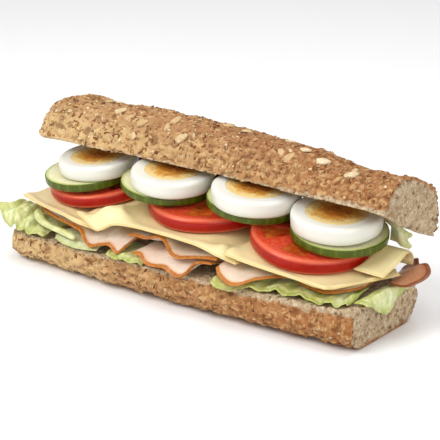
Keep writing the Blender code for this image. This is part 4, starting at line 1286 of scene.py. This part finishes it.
def leafPlace(cut):
    def place(u, v):
        near = spline(cut["near"], u)
        far = spline(cut["far"], u)
        point = near.lerp(far, v)
        point.z = mix(near.z, far.z, smoothStep(0.0, 0.16, v))
        turn = 2.0 * math.pi * cut["waves"] * u
        phase = turn + 0.7 * math.sin(0.37 * turn + 1.0) + 1.3 * math.sin(5.0 * v)
        calm = mix(1.0, cut.get("calm", 1.0), u)
        fade = mix(1.0, 0.35, v) * calm
        point.z += cut["ruffle"] * fade * (math.sin(phase) + 0.3 * math.sin(2.3 * turn))
        point.z += cut["height"] * calm * math.sin(math.pi * v)
        point.y += cut.get("roll", 0.0) * fade * math.cos(phase)
        point.x -= cut.get("lobe", 0.0) * (1.0 - u) ** 4 * math.exp(-((v - 0.12) / 0.16) ** 2)
        return tuple(point)

    return place


def leafRelief(strength):
    def relief(point, u, v):
        near, second = cellAt(point, 6.5, 2.0)
        vein = smoothStep(0.16, 0.0, second - near)
        return strength * (0.5 * noiseAt(point, 3.4, 6.0) + 0.25 * noiseAt(point, 1.5, 2.0) + 0.25 * vein)

    return relief


def leafMaterial(name, look):
    material, tree, shader, place = startMaterial(name, 0.36, coat=0.08, subsurface=0.25)
    fan = add(tree, "Mapping", {"Vector": surfaceUv(tree), "Scale": (look["ribs"], 1.1, 1.0)})
    ribs = mottled(tree, fan.outputs[0], 1.0, 3.4, 2.0)
    spot = bentPlace(tree, place, 160.0, 2.0, 0.006)
    net = add(tree, "TexVoronoi", {"Vector": spot, "Scale": 150.0}, feature="DISTANCE_TO_EDGE")
    deep = mottled(tree, place, 300.0, 2.8, 2.0)
    leaf = blendTone(tree, mottled(tree, place, 110.0, 2.6, 3.0), look["leaf"], look["pale"])
    colour = layered(tree, look, leaf, [
        (ribs, 0.75, "vein"), (ranged(tree, mask(tree, "edge"), 4.5, 0.3), 0.6, "rim"),
        (ranged(tree, net.outputs["Distance"], 0.16, 0.0), 0.22, "vein"), (deep, 0.35, "deep")])
    endMaterial(tree, shader, colour, sums(tree, "MULTIPLY_ADD", ribs, 0.8, deep), 0.3, 0.0006)
    return material


leaves = {
    "lettuce_1": {
        "near": [
            (-113.5, -38.6, 21.6), (-107.0, -41.0, 20.6), (-99.0, -41.0, 19.2), (-88.0, -40.0, 18.4)],
        "far": [
            (-118.5, -20.0, 25.5), (-112.0, -14.0, 24.6), (-102.0, -10.0, 20.6), (-88.0, -8.0, 19.2)],
        "height": 3.0, "ruffle": 2.3, "waves": 3.6, "calm": 0.25, "roll": 1.6, "lobe": 9.0,
        "columns": 120, "relief": 1.0},
    "lettuce_2": {
        "near": [
            (-81.0, -38.2, 18.3), (-72.0, -41.2, 18.0), (-60.0, -41.8, 18.2), (-50.0, -40.6, 18.6)],
        "far": [
            (-81.0, -24.0, 20.2), (-72.0, -22.0, 20.2), (-60.0, -20.0, 19.8), (-50.0, -20.0, 19.8)],
        "height": 0.3, "ruffle": 0.3, "waves": 1.3, "columns": 80, "relief": 0.3},
    "lettuce_3": {
        "near": [
            (-42.0, -42.6, 18.8), (-34.0, -43.0, 18.7), (-26.0, -43.2, 18.9), (-18.0, -42.6, 19.4)],
        "far": [
            (-42.0, -22.0, 20.0), (-34.0, -22.0, 20.0), (-26.0, -22.0, 20.2), (-18.0, -22.0, 20.4)],
        "height": 0.2, "ruffle": 0.5, "waves": 2.6, "columns": 80, "relief": 0.5},
    "lettuce_4": {
        "near": [
            (27.0, -44.8, 19.5), (40.0, -44.8, 20.0), (52.0, -41.0, 21.8), (64.0, -38.4, 22.2),
            (76.0, -38.0, 22.5), (88.0, -37.8, 22.7), (96.0, -36.6, 22.8), (101.0, -33.5, 22.9)],
        "far": [
            (27.0, -14.0, 21.1), (40.0, -12.0, 21.5), (52.0, -10.0, 21.9), (64.0, -8.0, 22.2),
            (76.0, -6.0, 22.4), (86.0, -6.0, 22.6), (93.0, -8.0, 22.8), (97.5, -10.0, 22.9)],
        "height": 0.3, "ruffle": 0.95, "waves": 5.4, "roll": 0.8, "columns": 180, "relief": 0.6},
}
endLeafHem = [(-29.0, 22.6), (-25.0, 21.0), (-20.5, 18.4), (-15.0, 14.6), (-9.0, 12.8), (-3.4, 16.0),
              (0.5, 18.8), (5.0, 20.4), (10.0, 20.4)]
ribRoute = [(-102.6, -28.2, 26.7), (-94.0, -34.6, 25.0), (-84.5, -38.2, 24.3), (-75.0, -38.8, 23.4),
            (-64.5, -40.6, 22.6)]


def endLeafPlace(u, v):  # lies over the cut end of the lower half, with a ragged lower edge
    y, low = profilePoint(endLeafHem, u)
    path = spline([(101.6, y, 22.7), (104.6, y, 23.2), (107.6, y, 23.3), (108.5, y, low)], v)
    swing = math.sin(2.0 * math.pi * 2.6 * u)
    ragged = 0.9 * noiseAt((y, 3.0, 5.0), 2.2) * smoothStep(0.6, 1.0, v)
    return (path.x + 0.5 * swing * v, y, path.z + 0.35 * swing * v + ragged)


def backLeafPlace(u, v):  # stands behind the last egg slice, between the cheese and the upper half
    left = mix(93.8, 90.2, smoothStep(0.56, 0.74, v))
    x = mix(left, 108.0, u) + 1.2 * math.sin(9.0 * v) * u
    y = mix(14.8, 8.6, u) + 0.9 * math.sin(7.0 * u + 1.5 * v)
    hollow = hollowDepth(x, (y - top["front"]) / top["width"])
    highest = min(top["edge"] - 0.5 * (y - top["front"]) + 0.85 * hollow - 1.9, 52.0)
    return (x, y, mix(40.4, highest, v) + 0.6 * v * noiseAt((x, y, 1.0), 3.0))


def ribPiece(name, material, radius=2.2, rows=90, around=28):
    points = []
    uv = []
    edge = []
    for j in range(rows + 1):
        share = j / rows
        centre = spline(ribRoute, share)
        ahead = spline(ribRoute, min(share + 0.01, 1.0)) - spline(ribRoute, max(share - 0.01, 0.0))
        ahead.normalize()
        side = ahead.cross(Vector((0.0, 0.0, 1.0))).normalized()
        up = side.cross(ahead)
        size = radius * mix(1.0, 0.72, share) * (1.0 + 0.10 * math.sin(9.0 * share))
        size *= math.sqrt(max(1.0 - (2.0 * abs(share - 0.5)) ** 14, 0.02))
        for k in range(around):
            angle = 2.0 * math.pi * k / around
            ribbed = size * (1.0 + 0.10 * math.cos(5.0 * angle + 2.0 * share))
            point = centre + side * (ribbed * math.cos(angle)) + up * (0.85 * ribbed * math.sin(angle))
            point += up * 0.2 * noiseAt(point, 2.4, 3.0)
            points.append(tuple(point))
            uv.append((share, k / around))
            edge.append(3.0 + 3.0 * math.cos(angle))
    faces = bandFaces(rows + 1, around)
    faces.append(list(range(around)))
    faces.append(list(range(rows * around, (rows + 1) * around)))
    return makePiece(name, points, faces, material, uv, {"edge": edge})


green = leafMaterial("lettuceGreen", {
    "leaf": tone(184, 192, 68), "pale": tone(222, 224, 138), "rim": tone(152, 168, 40),
    "vein": tone(242, 242, 204), "deep": tone(126, 140, 34), "ribs": 10.0})
pale = leafMaterial("lettucePale", {
    "leaf": tone(206, 210, 158), "pale": tone(222, 224, 186), "rim": tone(184, 192, 118),
    "vein": tone(228, 228, 196), "deep": tone(176, 182, 114), "ribs": 5.0})
frilly = leafMaterial("lettuceFrilly", {
    "leaf": tone(184, 190, 92), "pale": tone(218, 220, 150), "rim": tone(160, 170, 60),
    "vein": tone(236, 236, 196), "deep": tone(138, 148, 54), "ribs": 9.0})
for name, cut in leaves.items():
    material = {"lettuce_1": frilly, "lettuce_2": pale}.get(name, green)
    piece = layerSheet(f"{name}_leaf", leafPlace(cut), cut["columns"], 56, layers["leaf"], material,
                       leafRelief(cut["relief"]))
    finishPiece(piece, "leaf_rib" if name == "lettuce_2" else "leaf", name)
for name, place, material, strength in (("lettuce_5", endLeafPlace, green, 0.6),
                                        ("lettuce_6", backLeafPlace, pale, 0.5)):
    piece = layerSheet(f"{name}_leaf", place, 60, 44, layers["leaf"], material, leafRelief(strength),
                       rowBias=1.0)
    finishPiece(piece, "leaf", name)
finishPiece(ribPiece("lettuce_7_rib", frilly), "leaf_rib", "lettuce_7")
print("lettuce made")


# Floor, light and camera

def makeStage():
    bpy.ops.mesh.primitive_plane_add(size=6.0, location=(0.0, 0.0, -0.0002))
    floor = bpy.context.object
    floor.name = "floor"
    material, tree, shader, place = startMaterial("floorPaint", 0.9, specular=0.1)
    colour = blendTone(tree, mottled(tree, place, 3.0, 0.2, 1.0), tone(247, 247, 247), tone(250, 250, 250))
    endMaterial(tree, shader, colour)
    floor.data.materials.append(material)


studio = {
    "key": {"place": (-0.35, -0.80, 0.95), "size": 0.7, "power": 9.6},
    "fill": {"place": (0.95, -0.55, 0.55), "size": 0.9, "power": 4.2},
    "top": {"place": (0.05, 0.25, 1.10), "size": 0.9, "power": 5.0},
}
worldStrength = 0.50
cameraLook = {"turn": 37.3, "rise": 19.0, "distance": 0.864, "halfView": 7.5, "aim": (0.0, 0.0, 35.0)}


def makeLights():
    aim = Vector(cameraLook["aim"]) * mm
    for name, lamp in studio.items():
        light = bpy.data.lights.new(name, "AREA")
        light.shape = "SQUARE"
        light.size = lamp["size"]
        light.energy = lamp["power"]
        item = addObject(name, light)
        item.location = lamp["place"]
        item.rotation_euler = (aim - Vector(lamp["place"])).to_track_quat("-Z", "Y").to_euler()
    world = bpy.data.worlds.new("studio")
    bpy.context.scene.world = world
    world.use_nodes = True
    backdrop = world.node_tree.nodes["Background"]
    backdrop.inputs["Color"].default_value = (1.0, 1.0, 1.0, 1.0)
    backdrop.inputs["Strength"].default_value = worldStrength


def makeCamera():
    turn = math.radians(cameraLook["turn"])
    rise = math.radians(cameraLook["rise"])
    back = Vector((math.sin(turn) * math.cos(rise), -math.cos(turn) * math.cos(rise), math.sin(rise)))
    aim = (Vector(cameraLook["aim"]) + drawingShift) * mm
    lens = bpy.data.cameras.new("camera")
    lens.sensor_width = 36.0
    lens.lens = 18.0 / math.tan(math.radians(cameraLook["halfView"]))
    camera = addObject("camera", lens)
    camera.location = aim + back * cameraLook["distance"]
    camera.rotation_euler = back.to_track_quat("Z", "Y").to_euler()
    bpy.context.scene.camera = camera


makeStage()
makeLights()
makeCamera()
bpy.context.scene.view_settings.view_transform = "Standard"
print("stage, lights and camera set")
